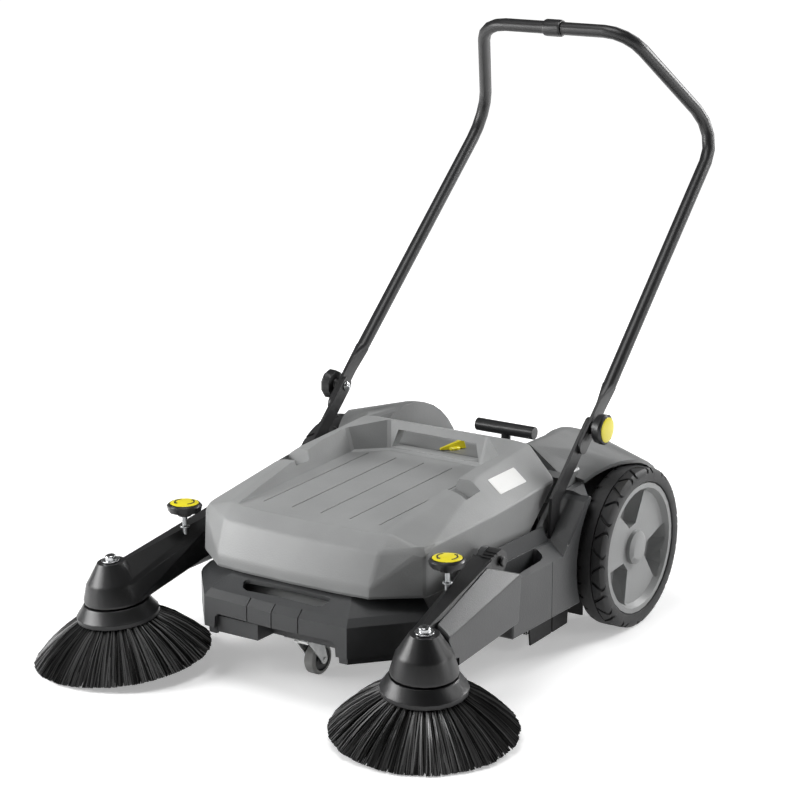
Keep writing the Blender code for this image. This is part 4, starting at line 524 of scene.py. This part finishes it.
def rounded_outline(width, height, radius, steps):
    """Rectangle round the origin with round corners."""
    outline = []
    for quarter, (sx, sy) in enumerate(((1, 1), (-1, 1), (-1, -1), (1, -1))):
        for i in range(steps):
            angle = pi / 2 * (quarter + i / (steps - 1))
            outline.append((sx * (width / 2 - radius) + radius * cos(angle),
                            sy * (height / 2 - radius) + radius * sin(angle)))
    return outline


# Middle of the plate on the hood's right slope, the slope's outward direction, and the plate's size
PLATE_MIDDLE = Vector((0.2067, -0.0427, 0.3065))
PLATE_FACING = Vector((0.623, -0.050, 0.781)).normalized()
PLATE_SIZE = (0.081, 0.034)
# Radius of its corners, and points round each
PLATE_CORNER = (0.0025, 5)
# Underside, face and edge slope of the plate, from the hood's skin
PLATE_SECTION = (-0.0004, 0.0006, 0.0004)


def name_plate():
    """Bare film plate on the hood, with a sloped edge."""
    along = (Vector((0, 1, 0)) - PLATE_FACING * PLATE_FACING.y).normalized()
    across = PLATE_FACING.cross(along)
    place = Matrix.Translation(PLATE_MIDDLE) @ Matrix((along, across, PLATE_FACING)).transposed().to_4x4()
    points, faces = slab(rounded_outline(*PLATE_SIZE, *PLATE_CORNER), *PLATE_SECTION)
    new_piece("hood_plate", points, faces, LABEL_FILM, "container", place)


# Turning arrows on an adjuster's cap: ring radius, line width, half angle of each arc, and turn of the pair
ARROW_RING = 0.0165
ARROW_WIDTH = 0.0026
ARROW_HALF = radians(48)
ARROW_TURN = radians(15)
ARROW_POINTS = 15
# Half width of an arrow's head, and the angle that it covers
HEAD_HALF = ARROW_WIDTH * 1.3
HEAD_ANGLE = 0.28
# Height of the print over the cap, and its thickness
PRINT_LIFT = 0.0001
PRINT_THICKNESS = 0.0006


def turning_arrow():
    """Outer line and inner line of one arc round the cap's middle, and the head on its end."""
    bend = np.linspace(-ARROW_HALF, ARROW_HALF, ARROW_POINTS)
    outer = [on_circle(ARROW_RING + ARROW_WIDTH / 2, a) for a in bend]
    inner = [on_circle(ARROW_RING - ARROW_WIDTH / 2, a) for a in bend]
    corners = ((HEAD_HALF, 0.0), (0.0, HEAD_ANGLE), (-HEAD_HALF, 0.0))
    head = [on_circle(ARROW_RING + reach, ARROW_HALF + turn) for reach, turn in corners]
    return outer, inner, head


def cap_arrows(label):
    """Two dark turning arrows printed on the yellow cap."""
    low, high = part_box(f"adjuster_cap_{label}")
    middle = Vector(((low[0] + high[0]) / 2, (low[1] + high[1]) / 2, high[2]))
    outer, inner, head = turning_arrow()
    points, faces = [], []
    for half in (0, 1):
        turn = Matrix.Rotation(pi * half + ARROW_TURN, 2)
        flat = [turn @ Vector(p) for p in outer + inner + head]
        base = len(points)
        points += [(p.x, p.y, PRINT_LIFT) for p in flat]
        count = len(outer)
        faces += [(base + k, base + k + 1, base + count + k + 1, base + count + k) for k in range(count - 1)]
        faces.append((base + 2 * count, base + 2 * count + 1, base + 2 * count + 2))
    arrows = new_piece(f"cap_arrows_{label}", points, faces, BLACK_PA, f"adjuster_{label}",
                       Matrix.Translation(middle))
    thick = arrows.modifiers.new("Print thickness", "SOLIDIFY")
    thick.thickness = PRINT_THICKNESS


SOCKET_RADIUS = 0.0052
# Underside, face and edge slope of the dark hexagon painted as the socket's shade, from the top of the bolt
SOCKET_SINK, SOCKET_RISE, SOCKET_SLOPE = 0.001, 0.0002, 0.0003


def painted_socket_shade(label, side):
    """Dark hexagon in the head of the brush bolt: painted shade that shows as its socket."""
    hexagon = [on_circle(SOCKET_RADIUS, pi / 3 * k) for k in range(6)]
    points, faces = slab(hexagon, SPINDLE_TOP - SOCKET_SINK, SPINDLE_TOP + SOCKET_RISE, SOCKET_SLOPE)
    new_piece(f"painted_socket_shade_{label}", points, faces, POWDER_STEEL, f"arm_{label}",
              brush_place(side))


# Ribs across the arm's top by its hinge: size, corner radius and points round a corner, middle of each on
# the arm's skin, and the way that skin faces
RIB_SIZE = (0.022, 0.0040)
RIB_CORNER = (0.0016, 3)
RIB_X = 0.2760
RIB_PLACES = ((-0.2030, 0.2353), (-0.2115, 0.2331), (-0.2200, 0.2309))
RIB_FACING = Vector((0, -0.252, 0.968))
# Underside, face and edge slope of a rib, from the arm's skin
RIB_SECTION = (-0.0030, 0.0016, 0.0006)


def arm_ribs(label, side):
    """Three low ribs moulded across the arm's root."""
    along = Vector((1, 0, 0))
    turn = Matrix((along, RIB_FACING.cross(along), RIB_FACING)).transposed().to_4x4()
    rib_points, rib_faces = slab(rounded_outline(*RIB_SIZE, *RIB_CORNER), *RIB_SECTION)
    points, faces = [], []
    for y, z in RIB_PLACES:
        place = Matrix.Translation((side * RIB_X, y, z)) @ turn
        faces += [tuple(len(points) + k for k in face) for face in rib_faces]
        points += [tuple(place @ Vector(p)) for p in rib_points]
    new_piece(f"arm_ribs_{label}", points, faces, BLACK_PA, f"arm_{label}")


# Stage


def toward(azimuth, elevation):
    """Direction by degrees from the front round to the machine's right, and degrees up."""
    turn, rise = radians(azimuth), radians(elevation)
    return Vector((sin(turn) * cos(rise), -cos(turn) * cos(rise), sin(rise)))


# Soft boxes: degrees from the front round to the machine's right, degrees up, watts, width and height
SOFT_BOXES = (
    ("key_softbox", -52, 20, 66, 1.6, 1.3),
    ("fill_softbox", -8, 25, 3, 1.3, 1.3),
    ("top_softbox", -20, 80, 34, 1.4, 1.4),
    ("back_softbox", 176, 34, 8, 1.6, 0.8),
    ("rim_softbox", 150, 26, 44, 0.9, 0.9),
    ("right_softbox", 108, 12, 18, 1.2, 1.2),
)
LAMP_AIM = Vector((0, -0.1, 0.25))
LAMP_DISTANCE = 2.8
# Side on which the room is dim, and its light on the far side and there
DIM_WAY = toward(38, 10)
ROOM_BRIGHT = 0.14
ROOM_DIM = 0.05
WHITE = (1, 1, 1, 1)
FLOOR_REACH = 60.0
# Colour of the floor to the eye, and for the light that it throws back on the machine
FLOOR_SEEN = "#F2F2F2"
FLOOR_THROWN = "#A8A8A8"
FLOOR_ROUGHNESS = 0.9
FLOOR_SHEEN = 0.1
# How much paler the floor looks than it is lit, up to the near distance and from the far one on
LIFT_NEAR, LIFT_FAR = 0.36, 0.98
NEAR, FAR = 0.8, 2.2
# The photographer's place, what the lens is aimed at, and its focal length and sensor width in mm
CAMERA_PLACE = Vector((2.27889, -3.45950, 1.49420))
CAMERA_AIM = Vector((0, -0.06168, 0.42264))
FOCAL_LENGTH = 110.116
SENSOR_WIDTH = 36.0


def soft_box(name, way, power, width, height):
    """Rectangular lamp that faces the machine."""
    light = bpy.data.lights.new(name, "AREA")
    light.energy = power
    light.shape = "RECTANGLE"
    light.size = width
    light.size_y = height
    holder = bpy.data.objects.new(name, light)
    holder.location = LAMP_AIM + LAMP_DISTANCE * way
    holder.rotation_euler = (-way).to_track_quat("-Z", "Y").to_euler()
    bpy.context.scene.collection.objects.link(holder)


def room():
    """Soft light from all round, dim towards the viewer's right, and white to the eye."""
    world = bpy.data.worlds.new("studio_light")
    world.use_nodes = True
    bpy.context.scene.world = world
    tree = world.node_tree
    tree.nodes.clear()
    way = add(tree, "ShaderNodeTexCoord", {}).outputs["Generated"]
    facing = add(tree, "ShaderNodeVectorMath", {"operation": "DOT_PRODUCT", 1: DIM_WAY}, {0: way})
    strength = add(tree, "ShaderNodeMapRange",
                   {"From Min": -1.0, "From Max": 1.0, "To Min": ROOM_BRIGHT, "To Max": ROOM_DIM},
                   {"Value": facing.outputs["Value"]})
    seen = add(tree, "ShaderNodeLightPath", {}).outputs["Is Camera Ray"]
    shown = add(tree, "ShaderNodeMath", {"operation": "MAXIMUM"}, {0: strength.outputs["Result"], 1: seen})
    glow = add(tree, "ShaderNodeBackground", {"Color": WHITE}, {"Strength": shown.outputs["Value"]})
    add(tree, "ShaderNodeOutputWorld", {}, {"Surface": glow.outputs["Background"]})


def floor():
    """White floor, paler to the eye and in reflections than the light it throws back on the machine."""
    mesh = bpy.data.meshes.new("floor")
    corners = [(FLOOR_REACH * sx, FLOOR_REACH * sy, 0) for sx, sy in ((-1, -1), (1, -1), (1, 1), (-1, 1))]
    mesh.from_pydata(corners, [], [(0, 1, 2, 3)])
    ground = bpy.data.objects.new("floor", mesh)
    bpy.context.scene.collection.objects.link(ground)
    finish, tree, shader = new_finish("painted_board_white")
    path = add(tree, "ShaderNodeLightPath", {})
    # The mix node's colours are its inputs 6 and 7, and its mixed colour is output 2
    tone = add(tree, "ShaderNodeMix", {"data_type": "RGBA", 6: linear(FLOOR_SEEN), 7: linear(FLOOR_THROWN)},
               {0: path.outputs["Is Diffuse Ray"]})
    tree.links.new(tone.outputs[2], shader.inputs["Base Color"])
    shader.inputs["Roughness"].default_value = FLOOR_ROUGHNESS
    shader.inputs["Specular IOR Level"].default_value = FLOOR_SHEEN
    shader.inputs["Emission Color"].default_value = WHITE
    seen = add(tree, "ShaderNodeMath", {"operation": "MAXIMUM"},
               {0: path.outputs["Is Camera Ray"], 1: path.outputs["Is Glossy Ray"]})
    seen = add(tree, "ShaderNodeMath", {"operation": "MAXIMUM"},
               {0: seen.outputs["Value"], 1: path.outputs["Is Transmission Ray"]})
    spot = add(tree, "ShaderNodeNewGeometry", {}).outputs["Position"]
    away = add(tree, "ShaderNodeVectorMath", {"operation": "LENGTH"}, {0: spot})
    amount = add(tree, "ShaderNodeMapRange",
                 {"From Min": NEAR, "From Max": FAR, "To Min": LIFT_NEAR, "To Max": LIFT_FAR},
                 {"Value": away.outputs["Value"]})
    lift = add(tree, "ShaderNodeMath", {"operation": "MULTIPLY"},
               {0: seen.outputs["Value"], 1: amount.outputs["Result"]})
    tree.links.new(lift.outputs["Value"], shader.inputs["Emission Strength"])
    mesh.materials.append(finish)


def camera():
    """The photograph's view."""
    lens = bpy.data.cameras.new("photo_view")
    lens.sensor_width = SENSOR_WIDTH
    lens.lens = FOCAL_LENGTH
    holder = bpy.data.objects.new("photo_view", lens)
    holder.location = CAMERA_PLACE
    holder.rotation_euler = (CAMERA_AIM - CAMERA_PLACE).to_track_quat("-Z", "Y").to_euler()
    bpy.context.scene.collection.objects.link(holder)
    bpy.context.scene.camera = holder


bpy.context.scene.view_settings.view_transform = "Standard"
camera()
room()
for box_name, azimuth, elevation, power, width, height in SOFT_BOXES:
    soft_box(box_name, toward(azimuth, elevation), power, width, height)
floor()
finish_frame()
for side_label, side_sign in SIDES.items():
    side_brush(side_label, side_sign)
    lugged_tyre(side_label, side_sign)
    cap_arrows(side_label)
    painted_socket_shade(side_label, side_sign)
    arm_ribs(side_label, side_sign)
roller_brush()
name_plate()
